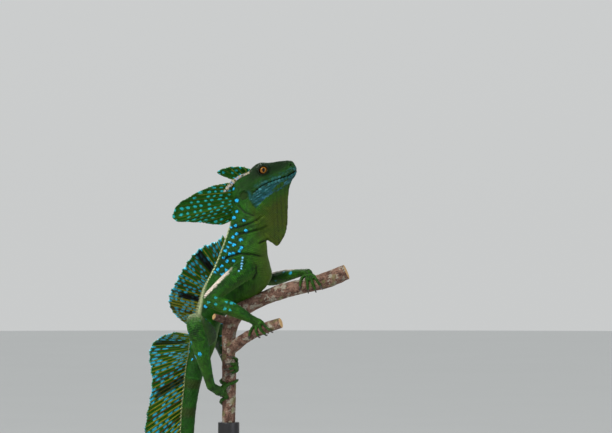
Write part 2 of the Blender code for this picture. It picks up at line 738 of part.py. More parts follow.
def palm_rings(path, palm, sides=10):
    """The palm, from the wrist's own ring to a rounded end over the branch."""
    wrist = smooth(path, len(path) - 1.0)[0]
    centre, wide = np.array(palm[0]), palm[1]
    run = unit(centre - wrist[:3])
    before = smooth(path, len(path) - 1.3)[0]
    rows = [before, wrist, (*(wrist[:3] * 0.45 + centre * 0.55), wide * 0.92)]
    rows += [(*centre, wide), (*(centre + run * wide * 0.6), wide * 0.78), (*(centre + run * wide), wide * 0.3)]
    return tube_rings(rows, np.linspace(0.5, 5, 7), sides)


def grip(name, spec, parts, cutters, perch_cut):
    path = LIMBS[spec["wrist"]]
    hand = make_object(name, *loft(palm_rings(path, spec["palm"])), parts, "skin")
    group = new_collection(name + "_digits", True)
    for i, digit in enumerate(spec["digits"]):
        rings = digit_rings(spec["branch"], digit, spec["palm"][0])
        make_object(f"{name}_digit_{i + 1}", *loft(rings), group, "skin")
    boolean(hand, group, "UNION", "MANIFOLD")
    boolean(hand, perch_cut, "DIFFERENCE", "MANIFOLD")
    before = limb_part(name + "_sleeve", path, len(path) - 3.0, len(path) - 1.0, cutters, GAP)
    boolean(hand, before, "DIFFERENCE", "MANIFOLD")
    bake(hand)
    for digit in list(group.objects):
        bpy.data.objects.remove(digit)
    bpy.data.collections.remove(group)


def make_body(parts, cutters):
    gap = 0.012
    angles, tail_angles = ring_angles(TRUNK_SIDES), ring_angles(TAIL_SIDES)
    neck = body_rings(TRUNK_STATIONS, np.linspace(gap * 3, NECK_END - gap, 10), angles)[0]
    make_object("neck", *loft(neck), parts, "skin")
    torso = body_rings(TRUNK_STATIONS, np.linspace(NECK_END + gap, TORSO_END - gap, 17), angles)[0]
    make_object("torso", *loft(torso), parts, "skin")
    ends = [TORSO_END] + TAIL_ENDS + [len(TRUNK_STATIONS) - 1]
    counts = [7, 6, 8, 14]
    for i, count in enumerate(counts):
        first, last = ends[i] + gap, ends[i + 1] - (gap if i < 3 else 0)
        rings = body_rings(TRUNK_STATIONS, np.linspace(first, last, count), tail_angles)[0]
        make_object(f"tail_{i + 1}", *loft(rings), parts, "skin")
    whole = body_rings(TRUNK_STATIONS, np.linspace(0.0, 21.0, 60), angles, GAP)[0]
    body_cut = make_object("body_cut", *loft(whole), cutters, "skin")
    return body_cut


def make_head(parts, cutters):
    head = make_object("head", *loft(head_rings()), parts, "skin")
    head_cut = make_object("head_cut", *loft(head_rings(GAP, False)), cutters, "skin")
    for name, sign in (("eye_right", -1), ("eye_left", 1)):
        centre = head_point(EYE_FORWARD, EYE_UP, sign * EYE_OUT)
        bulge = (EYE_RADIUS + 1.5, EYE_RADIUS + 0.75, EYE_RADIUS + 0.8)
        lid = ball(name + "_lid", centre, bulge, cutters, "skin", 9, 16, HEAD_TILT)
        boolean(head, lid, "UNION")
    for name, sign in (("eye_right", -1), ("eye_left", 1)):
        centre = head_point(EYE_FORWARD, EYE_UP, sign * EYE_OUT)
        room = [EYE_RADIUS + GAP] * 3
        seat = ball(name + "_seat", centre, room, cutters, "skin", 9, 14)
        boolean(head, seat, "DIFFERENCE")
        far = head_point(EYE_FORWARD, EYE_UP, sign * (EYE_OUT + 12))
        opening = cylinder(name + "_opening", centre, far, LID_OPENING, cutters, "skin", 14, HEAD_TILT)
        boolean(head, opening, "DIFFERENCE")
        ball(name, centre, [EYE_RADIUS] * 3, parts, "eye", 9, 16)
        ear = head_point(0.6, 0.0, sign * 15.2)
        cup = ball(name + "_ear", ear, (EAR_RADIUS, 2.0, EAR_RADIUS * 1.15), cutters, "skin", 7, 12)
        boolean(head, cup, "DIFFERENCE")
    return bake(head), head_cut


def trim(obj, *cutters, solver="EXACT"):
    for cutter in cutters:
        boolean(obj, cutter, "DIFFERENCE", solver)
    return bake(obj)


def make_fins(parts, cutters, body_cut, head_cut):
    front = flat_fin("crest_front", CREST_FRONT, 5, (1.5, 0.35, 0.55), 0.6, parts, "fin", 0.4, 5)
    trim(front, body_cut, head_cut)
    crest = flat_fin("crest_rear", CREST_REAR, CREST_RAYS, (1.1, 0.35, 0.4), 0.9, parts, "fin", 1.6)
    steps = np.linspace(0, len(CREST_RIDGE_PATH) - 1, 9)
    ridge = make_object("crest_ridge", *loft(tube_rings(CREST_RIDGE_PATH, steps, 8)), cutters, "fin")
    boolean(crest, ridge, "UNION", "MANIFOLD")
    trim(crest, body_cut, head_cut, solver="MANIFOLD")
    fan = throat_fan(parts)
    trim(fan, body_cut, head_cut)
    sail = body_fin("back_sail", BACK_SAIL, BACK_RAYS, (0.95, 0.38, 0.36), 1.3, parts, 1.6)
    trim(sail, body_cut)
    tail = body_fin("tail_sail", TAIL_SAIL, TAIL_RAYS, (0.9, 0.38, 0.36), 1.3, parts, 1.8)
    trim(tail, body_cut)


def make_limbs(parts, cutters, body_cut):
    for limb, path in LIMBS.items():
        upper, lower = LIMB_NAMES[limb][:2]
        joint, last = LIMB_JOINTS[limb], len(path) - 1.0
        gap = 0.022
        first = limb_part(upper, path, 0.0, joint - gap, parts, 0.0, 10)
        trim(first, body_cut)
        second = limb_part(lower, path, joint + gap, last - gap, parts, 0.0, 10)
        sleeve = limb_part(upper + "_sleeve", path, 0.0, joint - gap, cutters, GAP, 10)
        trim(second, sleeve, body_cut, solver="MANIFOLD")


def make_perch(parts, cutters):
    length = len(PERCH_PATH) - 1
    steps = np.concatenate([[0.0, 0.5], np.linspace(1.0, length, 21)])
    rings = tube_rings(PERCH_PATH, steps, PERCH_SIDES)
    perch = make_object("perch", *loft(rings), parts, "bark")
    wide = make_object("perch_cut", *loft(tube_rings(PERCH_PATH, steps, PERCH_SIDES, GAP)), cutters, "bark")
    for name, path in (("side_limb", SIDE_LIMB_PATH), ("stub", STUB_PATH)):
        t = np.linspace(0, len(path) - 1, 5 * (len(path) - 1) // 2 + 1)
        piece = make_object(name, *loft(tube_rings(path, t, 10)), cutters, "bark")
        grown = make_object(name + "_cut", *loft(tube_rings(path, t, 10, GAP)), cutters, "bark")
        boolean(perch, piece, "UNION")
        boolean(wide, grown, "UNION")
    bake(perch)
    bake(wide)
    return wide


def plate_ring(width, depth, height, sides=32, power=0.35):
    angle = np.linspace(0, 2 * math.pi, sides, endpoint=False)
    x = np.sign(np.cos(angle)) * np.abs(np.cos(angle)) ** power * width / 2
    y = np.sign(np.sin(angle)) * np.abs(np.sin(angle)) ** power * depth / 2
    return np.stack([x + SHIFT_X, y + SHIFT_Y, np.full(sides, height)], 1)


def make_stand(parts, cutters):
    rings = [
        plate_ring(BASE_WIDTH, BASE_DEPTH, 0),
        plate_ring(BASE_WIDTH, BASE_DEPTH, BASE_THICK - BASE_CHAMFER),
        plate_ring(BASE_WIDTH - 2 * BASE_CHAMFER, BASE_DEPTH - 2 * BASE_CHAMFER, BASE_THICK),
    ]
    base = make_object("stand_base", *loft(rings), parts, "stand")
    foot = (STEM_X, STEM_Y, 0)
    top = BASE_THICK + BOSS_HEIGHT
    profile = [(BOSS_RADIUS, 4), (BOSS_RADIUS, top - 1.5), (BOSS_RADIUS - 1.5, top)]
    boss = lathe("stand_boss", profile, foot, cutters, "stand")
    boolean(base, boss, "UNION")
    seat = top - ROD_FOOT_DEPTH
    hole = lathe("stand_hole", [(ROD_RADIUS + GAP, seat), (ROD_RADIUS + GAP, top + 5)], foot, cutters, "stand")
    boolean(base, hole, "DIFFERENCE")
    bake(base)
    floor = STEM_BOTTOM - GAP
    profile = [
        (ROD_RADIUS - 0.6, seat + GAP),
        (ROD_RADIUS, seat + GAP + 0.6),
        (ROD_RADIUS, floor - 8),
        (CUP_RADIUS - 1.2, floor - 2.5),
        (CUP_RADIUS, floor - 1),
        (CUP_RADIUS, floor + CUP_DEPTH - 1),
        (CUP_RADIUS - 0.8, floor + CUP_DEPTH),
        (STEM_RADIUS + GAP, floor + CUP_DEPTH),
        (STEM_RADIUS + GAP, floor),
    ]
    lathe("stand_rod", profile, foot, parts, "stand", 18)


def main():
    clear_scene()
    parts = new_collection("green_basilisk", False)
    cutters = new_collection("cutters", True)
    body_cut = make_body(parts, cutters)
    head, head_cut = make_head(parts, cutters)
    perch_cut = make_perch(parts, cutters)
    make_fins(parts, cutters, body_cut, head_cut)
    make_limbs(parts, cutters, body_cut)
    for name, spec in HANDS.items():
        grip(name, spec, parts, cutters, perch_cut)
    make_stand(parts, cutters)
    trim(bpy.data.objects["neck"], head_cut)
    trim(bpy.data.objects["torso"], perch_cut)


main()
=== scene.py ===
"""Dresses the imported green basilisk: one scaled skin, finer sails and crests, eyes, claws,
bark and stand, all in the frame of the CAD model. Lengths are millimetres unless stated."""

import itertools
import math

import bpy
import numpy as np
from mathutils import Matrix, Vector
from mathutils.bvhtree import BVHTree
from mathutils.kdtree import KDTree

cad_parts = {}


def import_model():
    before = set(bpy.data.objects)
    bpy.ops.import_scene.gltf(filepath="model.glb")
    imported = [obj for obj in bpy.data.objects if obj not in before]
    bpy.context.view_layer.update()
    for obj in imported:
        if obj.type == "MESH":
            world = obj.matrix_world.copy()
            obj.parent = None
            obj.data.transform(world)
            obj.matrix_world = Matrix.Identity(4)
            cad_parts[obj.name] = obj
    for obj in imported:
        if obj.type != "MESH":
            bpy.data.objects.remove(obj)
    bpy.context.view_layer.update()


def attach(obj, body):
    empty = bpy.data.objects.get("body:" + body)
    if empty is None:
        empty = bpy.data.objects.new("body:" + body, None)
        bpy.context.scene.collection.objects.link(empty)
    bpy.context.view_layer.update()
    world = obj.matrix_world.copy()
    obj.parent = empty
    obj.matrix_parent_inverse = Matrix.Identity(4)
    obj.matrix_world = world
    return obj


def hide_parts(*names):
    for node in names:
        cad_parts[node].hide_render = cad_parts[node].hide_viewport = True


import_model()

MM = 0.001
COAT = 0.3
SKIN_VOXEL = 0.6
BARK_VOXEL = 0.5

# Shift from the lizard's own upright plane to the middle of the base
SHIFT_X = 4.0
SHIFT_Y = 22.0

# Display stand
BASE_WIDTH = 200.0
BASE_DEPTH = 150.0
BASE_THICK = 12.0
BASE_CHAMFER = 1.6
BOSS_RADIUS = 11.0
BOSS_HEIGHT = 9.0
ROD_RADIUS = 4.0
ROD_FOOT_DEPTH = 14.0
CUP_RADIUS = 8.0
CUP_DEPTH = 11.0


# Perch
STEM_X = -8.5
STEM_Y = 3.0
STEM_RADIUS = 5.0
STEM_BOTTOM = 323.0
PERCH_PATH = [
    (STEM_X, STEM_Y, STEM_BOTTOM, 5.0), (STEM_X, STEM_Y, 340, 5.0), (-8.2, 3.2, 366, 5.3),
    (-8.6, 2.8, 386, 5.0), (-8.0, 3.0, 402, 5.4), (-3.6, 3.4, 413.5, 5.9), (6.0, 4.4, 421, 5.8),
    (18, 5.4, 426.6, 5.4), (34, 6.2, 432.4, 5.7), (52.5, 6.6, 436.8, 5.5), (66, 5.6, 440.6, 6.1),
    (80, 3.6, 446.5, 5.7),
]
SIDE_LIMB_PATH = [
    (-8.4, 2.9, 386, 3.4), (-3.0, -3.0, 391.5, 4.3), (4.5, -10.5, 397.5, 4.0), (14, -17.0, 402.6, 3.9),
    (23, -21.0, 406.4, 4.1), (31, -23.6, 409.0, 3.8),
]
STUB_PATH = [
    (-7.0, 2.6, 407, 3.2), (-12.5, -1.5, 410.5, 2.9), (-19.5, -6.0, 413.0, 2.5),
]


# Head: its own axes start at the ear and run forward and up
EAR_X = 2.55
EAR_Z = 503.3
HEAD_TILT = math.radians(29)
EYE_FORWARD = 22.3
EYE_UP = 9.7
EYE_OUT = 5.9
EYE_RADIUS = 4.3
LID_OPENING = (3.25, 2.6)
EAR_RADIUS = 3.4

# Forward and up at the top line, forward and up at the underside, half width,
# narrowing toward the top, squareness
HEAD_STATIONS = [
    (45.4, 1.8, 45.3, 0.6, 0.9, 0.0, 1.0),
    (45.2, 4.0, 44.9, -1.6, 3.4, 0.05, 0.9),
    (44.2, 5.9, 43.8, -3.8, 5.2, 0.1, 0.82),
    (41.6, 7.6, 41.0, -5.9, 6.7, 0.16, 0.78),
    (38.0, 9.1, 37.4, -7.3, 7.9, 0.22, 0.78),
    (33.5, 10.7, 33.2, -8.4, 9.1, 0.25, 0.78),
    (28.5, 12.8, 28.5, -9.0, 10.2, 0.26, 0.8),
    (23.5, 14.8, 23.5, -9.8, 11.6, 0.26, 0.8),
    (18.5, 15.2, 18.5, -10.5, 12.8, 0.26, 0.82),
    (13.0, 14.4, 13.2, -11.4, 13.8, 0.26, 0.85),
    (7.0, 13.6, 8.0, -12.4, 14.3, 0.26, 0.88),
    (1.0, 12.8, 4.0, -14.2, 14.0, 0.24, 0.9),
]

# Neck, trunk and tail: back line x, z; underside x, z; depth y; half width;
# narrowing toward the back; squareness
TRUNK_STATIONS = [
    (-2.8, 515.0, 12.9, 492.8, 0, 14.0, 0.24, 0.9),
    (-5.8, 508.5, 13.8, 486.5, 0, 13.4, 0.22, 0.92),
    (-5.9, 498.0, 16.8, 480.3, 0, 12.5, 0.2, 0.95),
    (-6.4, 488.0, 19.0, 473.6, 0, 12.2, 0.2, 0.95),
    (-9.0, 478.3, 20.3, 466.6, 0, 12.9, 0.22, 0.95),
    (-12.0, 469.3, 20.9, 458.8, 0.6, 15.0, 0.25, 0.93),
    (-15.4, 460.3, 22.6, 450.6, 2.5, 17.0, 0.3, 0.9),
    (-19.0, 451.5, 23.6, 442.6, 6, 18.0, 0.32, 0.9),
    (-23.6, 442.6, 18.0, 434.6, 10.5, 18.4, 0.32, 0.9),
    (-28.1, 434.0, 7.5, 428.4, 15.5, 17.6, 0.32, 0.9),
    (-30.4, 425.0, -2.3, 422.6, 20.5, 16.2, 0.32, 0.9),
    (-32.3, 416.0, -10.3, 416.0, 25, 15.0, 0.3, 0.9),
    (-34.1, 408.0, -14.8, 408.4, 29, 14.0, 0.28, 0.92),
    (-36.4, 400.3, -17.2, 399.0, 33, 12.8, 0.22, 0.95),
    (-38.6, 392.8, -19.8, 388.8, 36, 10.6, 0.15, 0.97),
    (-39.8, 384.3, -22.8, 381.0, 38, 8.8, 0.1, 1.0),
    (-42.0, 372.3, -27.8, 370.0, 39, 7.1, 0.1, 1.0),
    (-43.1, 359.8, -31.3, 358.3, 40, 6.0, 0.1, 1.0),
    (-45.0, 343.3, -34.1, 342.5, 40.3, 5.4, 0.1, 1.0),
    (-46.0, 326.0, -35.6, 326.0, 40.6, 5.0, 0.1, 1.0),
    (-47.5, 290.0, -38.1, 290.0, 41, 4.5, 0.1, 1.0),
    (-47.6, 250.0, -39.2, 250.3, 41, 4.0, 0.1, 1.0),
    (-46.9, 210.0, -39.5, 210.8, 41, 3.5, 0.1, 1.0),
    (-44.2, 169.6, -37.8, 171.0, 41, 3.0, 0.1, 1.0),
    (-40.1, 129.3, -34.7, 130.9, 40.5, 2.5, 0.1, 1.0),
    (-33.2, 91.0, -28.8, 93.0, 40, 2.05, 0.1, 1.0),
    (-21.5, 56.6, -18.3, 58.9, 39, 1.7, 0.1, 1.0),
    (-5.0, 32.9, -3.1, 35.4, 38, 1.4, 0.1, 1.0),
    (13.5, 23.0, 13.9, 25.3, 36, 1.1, 0.1, 1.0),
    (31.6, 25.9, 30.7, 27.5, 34, 0.9, 0.1, 1.0),
    (42.6, 37.2, 41.4, 37.8, 32, 0.7, 0.1, 1.0),
    (45.6, 51.6, 44.6, 51.6, 31, 0.5, 0.1, 1.0),
]

# Limbs: x, y, z, half thickness. The first point lies inside the body.
LIMBS = {
    "arm_right": [
        (6, -3, 450, 8.4), (1.4, -12.5, 446.6, 7.9), (-7.4, -18.4, 439.8, 7.0), (-15.6, -21.8, 432.8, 6.0),
        (-21.8, -22.8, 426.4, 5.4), (-16.6, -22.4, 423.6, 5.7), (-8, -21.8, 420.2, 5.5),
        (1, -20.8, 415.8, 4.5), (8.4, -19.6, 411.8, 3.4),
    ],
    "arm_left": [
        (2, 8, 455, 7.6), (5, 20, 451.5, 7.0), (11, 30, 446.0, 6.2), (17.0, 37.4, 441.6, 5.3),
        (22.8, 38.8, 440.4, 5.1), (28.2, 33.0, 441.4, 5.1), (34, 24.5, 443.2, 4.7),
        (40.5, 17.6, 444.6, 3.8), (46.0, 12.6, 445.6, 3.1),
    ],
    "leg_right": [
        (-27, 30, 398, 9.5), (-28, 18, 399.5, 9.2), (-29.6, 4, 403.0, 8.6), (-31.4, -11, 407.0, 7.4),
        (-33, -23.0, 409.6, 6.4), (-32.6, -26.6, 404.6, 6.1), (-29.6, -25.6, 395.0, 6.6),
        (-26.6, -22.6, 382.0, 5.3), (-23.4, -18.0, 369.0, 3.9), (-21.4, -14.6, 361.5, 3.5),
    ],
    "leg_left": [
        (-27, 36, 398, 9.5), (-27, 46, 399.5, 9.2), (-26, 56, 403.0, 8.6), (-24, 65, 408.0, 7.2),
        (-21.5, 73.0, 410.4, 6.3), (-19.2, 75.0, 402.4, 6.0), (-16.6, 66.4, 393.0, 6.2),
        (-13.6, 53.0, 386.5, 5.2), (-11.2, 40.6, 379.0, 3.9), (-10.0, 33.0, 375.8, 3.5),
    ],
}

# Upright fins: x and z of a root point, then of the edge point across from it
CREST_REAR = [
    (-2.2, 512.4, -8.8, 512.9), (-1.8, 510.4, -19.8, 510.9), (-1.6, 508.6, -29.0, 507.4),
    (-1.4, 505.8, -38.6, 502.3), (-1.2, 503.2, -45.9, 497.9), (-1.0, 500.8, -49.6, 493.3),
    (-1.0, 498.6, -51.2, 487.6), (-1.2, 496.4, -48.2, 484.6), (-1.4, 494.2, -38.6, 484.0),
    (-1.6, 492.0, -29.0, 483.6), (-1.8, 489.6, -20.0, 482.0), (-2.2, 487.2, -13.2, 482.0),
    (-2.8, 485.0, -9.0, 484.6),
]
# The ridge of pointed scales in front of the rear crest: x, y, z, half thickness
CREST_RIDGE_PATH = [
    (6.0, 0, 520.9, 0.5), (2.4, 0, 519.0, 1.0), (-1.0, 0, 516.9, 1.3), (-4.2, 0, 514.5, 1.4),
    (-6.8, 0, 512.1, 1.35), (-9.0, 0, 509.7, 1.2), (-10.8, 0, 507.5, 1.0), (-12.2, 0, 505.6, 0.4),
]
CREST_FRONT = [
    (9.0, 518.6, 8.0, 523.6), (7.0, 517.4, 3.0, 525.2), (5.0, 516.2, -3.0, 525.6),
    (3.4, 515.2, -8.6, 525.2), (2.4, 514.2, -13.6, 523.9), (2.0, 513.6, -17.8, 521.6),
    (1.8, 513.0, -14.6, 519.4), (1.6, 512.4, -9.0, 517.4),
]
THROAT_FAN = [
    (34.5, 517.5, 39.3, 514.9), (30.5, 514.0, 37.4, 509.4), (25.6, 509.0, 36.5, 501.0),
    (20.6, 504.0, 36.2, 492.0), (15.6, 498.5, 36.0, 483.8), (11.5, 493.0, 35.0, 476.6),
    (10.5, 488.0, 32.6, 471.2), (11.5, 483.0, 28.4, 465.8), (13.0, 478.5, 24.4, 467.8),
    (14.5, 474.5, 20.4, 470.2),
]
# Sails: place number along the trunk's stations, then x and z of the edge point
BACK_SAIL = [
    (5.2, -13.0, 474.4), (6.0, -16.4, 470.2), (6.7, -22.7, 467.2), (7.3, -28.8, 464.8),
    (7.85, -34.0, 460.8), (8.3, -38.8, 455.8), (8.7, -42.6, 449.8), (9.1, -46.6, 444.2),
    (9.5, -49.6, 438.0), (9.95, -52.8, 432.4), (10.5, -54.6, 426.8), (11.05, -54.4, 421.4),
    (11.5, -52.6, 416.4), (11.85, -49.4, 412.0), (12.15, -45.8, 409.0), (12.4, -42.0, 406.4),
]
TAIL_SAIL = [
    (13.3, -50.5, 400.0), (13.7, -61.5, 396.0), (14.1, -68.6, 389.6), (14.6, -70.4, 381.4),
    (15.1, -69.4, 372.6), (15.7, -68.2, 362.8), (16.4, -69.2, 351.2), (17.2, -71.6, 338.6),
    (17.9, -73.4, 325.4), (18.6, -72.6, 310.8), (19.15, -70.2, 296.0), (19.6, -66.2, 281.6),
    (20, -61.2, 268.2), (20.4, -55.6, 256.4), (20.8, -50.6, 247.4),
]
# Half thickness of the throat fan
FAN_ROOT_HALF = 9.0
FAN_EDGE_HALF = 0.6

# Digits: where each starts on the branch, its angle there, where it ends, its angle
# there, half thickness. Lengths follow from the wrap.
HANDS = {
    "hand_right": dict(
        branch=SIDE_LIMB_PATH,
        wrist="arm_right",
        palm=((14.0, -18.0, 408.6), 3.5),
        digits=[
            (2.95, 20, 2.45, 118, 1.25), (3.15, 24, 3.0, 158, 1.3), (3.35, 20, 3.5, 172, 1.35),
            (3.5, 8, 4.1, 150, 1.3), (3.2, -20, 3.5, -128, 1.25),
        ],
    ),
    "hand_left": dict(
        branch=PERCH_PATH,
        wrist="arm_left",
        palm=((51.0, 8.6, 445.0), 3.6),
        digits=[
            (8.75, 0, 8.55, 100, 1.25), (8.95, 8, 8.85, 138, 1.3), (9.1, 8, 9.2, 150, 1.35),
            (9.2, 0, 9.6, 132, 1.3), (8.9, -22, 9.2, -112, 1.25),
        ],
    ),
    "foot_right": dict(
        branch=PERCH_PATH,
        wrist="leg_right",
        palm=((-15.6, -7.0, 357.4), 3.6),
        digits=[
            (1.85, 62, 2.02, -56, 1.35), (1.72, 62, 1.75, -82, 1.4), (1.6, 66, 1.46, -96, 1.45),
            (1.5, 78, 1.2, -80, 1.35), (1.85, 88, 1.98, 190, 1.3),
        ],
    ),
    "foot_left": dict(
        branch=PERCH_PATH,
        wrist="leg_left",
        palm=((-8.2, 15.0, 374.6), 3.6),
        digits=[
            (2.62, -140, 2.84, -255, 1.35), (2.52, -142, 2.56, -278, 1.4), (2.42, -142, 2.36, -290, 1.45),
            (2.36, -140, 2.18, -272, 1.35), (2.62, -110, 2.9, -18, 1.3),
        ],
    ),
}


# Nodes that the skin stands for
SKIN_NODES = ["head", "neck", "torso", "throat_fan", "tail_1", "tail_2", "tail_3", "tail_4"]
for side in ("left", "right"):
    SKIN_NODES += [part + "_" + side for part in ("upper_arm", "forearm", "hand", "thigh", "shin", "foot")]

# Digits: the steps along a finger that swell at a joint. Claws: degrees round the branch, and for
# each step the share along the finger, the share of those degrees, height and half thickness.
KNUCKLES = (3, 5, 8)
CLAW_REACH = 24.0
CLAW_STEPS = [
    (0.84, 0.0, 0.75, 0.5), (0.92, 0.0, 1.0, 0.5), (1.0, 0.2, 1.15, 0.42), (1.0, 0.62, 0.95, 0.28),
    (1.0, 1.0, 0.4, 0.07),
]

# Space between the stem, its cup and the rod's foot
GAP = 0.3

# Head, forward and up from the ear: its hole, the nostril, and the line between the lips
EAR_HOLE = (0.6, 0.0)
NOSTRIL = (42.3, 3.0)
MOUTH_FORWARD = [-4, 4, 12, 18, 27, 37, 44, 46.6]
MOUTH_UP = [-3.4, -2.4, -0.7, 0.1, -1.2, -3.0, -2.2, -0.6]
LABIAL_LENGTH = 2.6
LABIAL_HEIGHT = 1.7
LID_THICK = 0.9
IRIS_RADIUS = 2.85
PUPIL_RADIUS = 1.65

# Forms of the head's sides: height, place forward and up, half width forward and up
HEAD_FORMS = [
    (1.5, 21, 14.2, 6.5, 2.0),
    (0.6, 33, 9.5, 7, 1.5),
    (1.1, 7, 3.5, 7, 5),
    (0.8, 3, 10.5, 6, 2.2),
    (-1.2, *NOSTRIL, 0.75, 0.65),
    (0.4, *NOSTRIL, 1.9, 1.7),
    (-0.9, 31, 4.5, 5, 2.6),
    (-0.5, 13, 8.0, 3, 4),
]

# Skin folds: depth, half width, and their line in side view
FOLDS = [
    (0.9, 0.75, [(-6.0, 479.0), (3.0, 481.0), (12.0, 484.8), (18.0, 489.0)]),
    (1.0, 0.75, [(-4.0, 474.2), (8.0, 476.6), (17.0, 479.2), (24.0, 482.0)]),
    (0.8, 0.7, [(13.5, 467.4), (18.5, 470.2), (23.4, 469.5)]),
    (1.2, 0.85, [(-14.0, 455.0), (-7.6, 458.1), (-0.2, 460.2), (9.8, 459.6), (18.5, 457.5)]),
    (0.5, 0.7, [(12.0, 452.0), (12.5, 446.0), (9.0, 440.0)]),
    (0.5, 0.8, [(-2.0, 497.0), (4.0, 491.0), (12.0, 488.0)]),
]
# The pale ridge that runs down the back of the head, x and z
HEAD_RIDGE = [(6.0, 521.2), (-0.2, 518.4), (-4.6, 514.8)]

# Markings
SPOT_CELL = 4.7
SPOT_RADIUS = 0.95
# Blue spots of the neck and flank and of the right arm, x and z, and the row of small dots
NECK_SPOTS = [
    (-5.2, 509.0), (-6.8, 503.0), (-2.2, 500.0), (-2.2, 491.8), (-4.5, 487.2), (-8.2, 488.8),
    (3.0, 485.0), (-6.8, 480.0), (-3.2, 481.0), (-2.2, 475.2), (4.5, 477.5), (-5.2, 472.6),
    (0.8, 470.8), (-7.4, 468.6), (-4.4, 467.0), (-8.8, 465.2), (1.3, 464.8), (-0.4, 462.1),
    (-10.9, 462.3), (-7.6, 460.0), (-4.6, 460.6), (-12.2, 457.1), (-9.4, 454.6), (-4.6, 454.9),
    (-13.6, 451.0), (-16.6, 448.2), (-18.8, 446.2), (-9.8, 448.0), (-13.1, 444.6), (-1.2, 446.1),
    (-4.5, 443.3), (-22.9, 425.8), (-26.2, 420.2), (-29.0, 411.0),
]
ARM_SPOTS = [
    (-17.6, 427.9), (-9.6, 424.6), (-5.9, 423.6), (-17.7, 422.9), (-10.8, 419.6), (-7.0, 418.4),
    (-23.0, 424.3),
]
LATERAL_DOTS = [(2.2, 457.3), (1.9, 455.1), (1.7, 453.0), (1.5, 451.0), (1.3, 449.2), (-0.4, 447.6)]
NECK_SPOT_RADIUS = 1.02
DOT_RADIUS = 0.72
TAIL_BAND = 22.0
# The skin under the scales is darker: painted shade in the gaps between them
SKIN_SHADE = 0.6

# Coat: size of a scale on the map of places, depth of its root, cells for the search of gaps, and
# how far out a search from the side of the body starts
PATCH = 0.0025
ROOT_DEPTH = 0.02
GAP_CELL = 1.3
SIDE_AWAY = 60

# Fins. Rays, scallops and their height; half thickness of a ray at root and edge and of the web
# between; sideways wave and how often; mesh columns to a ray, rows of the mesh, columns of scales
# to a ray, their pitch and the bare share at the root; strength of the rays' and the edge's paint;
# depth of the root in the body, strength of its pale line, share of brown rays. A dash has pitch,
# length, share of the space between rays, and share of places filled. A bar has first and last
# place along the fin, then first and last share from root to edge.
FIN_PAIRS = {
    "back_sail": BACK_SAIL,
    "tail_sail": TAIL_SAIL,
    "crest_rear": CREST_REAR,
    "crest_front": CREST_FRONT,
}
FINS = {
    "back_sail": dict(
        rays=34, scallops=17, scallop=1.3, root=0.95, edge=0.38, web=0.36, wave=1.6, waves=9.0,
        detail=6, rows=34, across=4, pitch=0.95, bare=0.06, ray_paint=0.9, pale_edge=0.9,
        sunk=2.6, pale_root=0.9, rust=0.6, dash=(4.3, 2.9, 0.27, 0.74),
        bars=[(0.225, 0.28, 0.22, 0.93), (0.585, 0.635, 0.08, 0.72)],
    ),
    "tail_sail": dict(
        rays=48, scallops=16, scallop=1.3, root=0.9, edge=0.38, web=0.36, wave=1.8, waves=9.0,
        detail=5, rows=34, across=3, pitch=1.0, bare=0.03, ray_paint=0.85, pale_edge=0.8,
        sunk=1.0, pale_root=0.5, rust=0.25, dash=(6.2, 4.5, 0.25, 0.74),
        bars=[(0.1, 0.14, 0.2, 0.9), (0.42, 0.46, 0.1, 0.8), (0.72, 0.76, 0.1, 0.8)],
    ),
    "crest_rear": dict(
        rays=13, scallops=10, scallop=0.9, root=1.1, edge=0.35, web=0.4, wave=1.6, waves=5.0,
        detail=9, rows=44, across=7, pitch=0.9, bare=0.06, ray_paint=0.35, pale_edge=0.2,
        sunk=0.0, pale_root=0.0, rust=0.6, dash=(5.4, 2.3, 0.24, 0.88), bars=[],
    ),
    "crest_front": dict(
        rays=7, scallops=5, scallop=0.6, root=1.5, edge=0.35, web=0.55, wave=0.4, waves=5.0,
        detail=9, rows=16, across=5, pitch=0.9, bare=0.1, ray_paint=0.35, pale_edge=0.1,
        sunk=0.0, pale_root=0.0, rust=0.6, dash=(4.4, 1.8, 0.25, 0.55), bars=[],
    ),
}

# Camera's place in the lizard's own plane, and in metres its distance and the floor's radius
LENS = 200
SENSOR = 36
CAMERA_X = 49.5
CAMERA_Z = 488.0
CAMERA_AWAY = 2.55
FLOOR_RADIUS = 12.0
FLOOR_SIDES = 96


def unit(vectors):
    vectors = np.asarray(vectors, float)
    return vectors / np.maximum(np.linalg.norm(vectors, axis=-1, keepdims=True), 1e-9)


def length(vectors):
    return np.linalg.norm(vectors, axis=-1)


def mix(a, b, share):
    return a + (b - a) * share


def ramp(x, start, end):
    """0 before start, 1 after end, smooth between. Start may be the larger."""
    share = np.clip((x - start) / (end - start), 0, 1)
    return share * share * (3 - 2 * share)


def bell(x, wide):
    """1 at 0, falling off smoothly to both sides."""
    return np.exp(-((x / wide) ** 2))


def beat(x, low=0.0):
    """Swings between low and 1, with a top at each whole number."""
    return (1 + low) / 2 + (1 - low) / 2 * np.cos(2 * math.pi * x)


def world(points):
    """Millimetres in the lizard's own plane, to metres about the middle of the base."""
    return (np.asarray(points, float) - np.array([SHIFT_X, SHIFT_Y, 0])) * MM


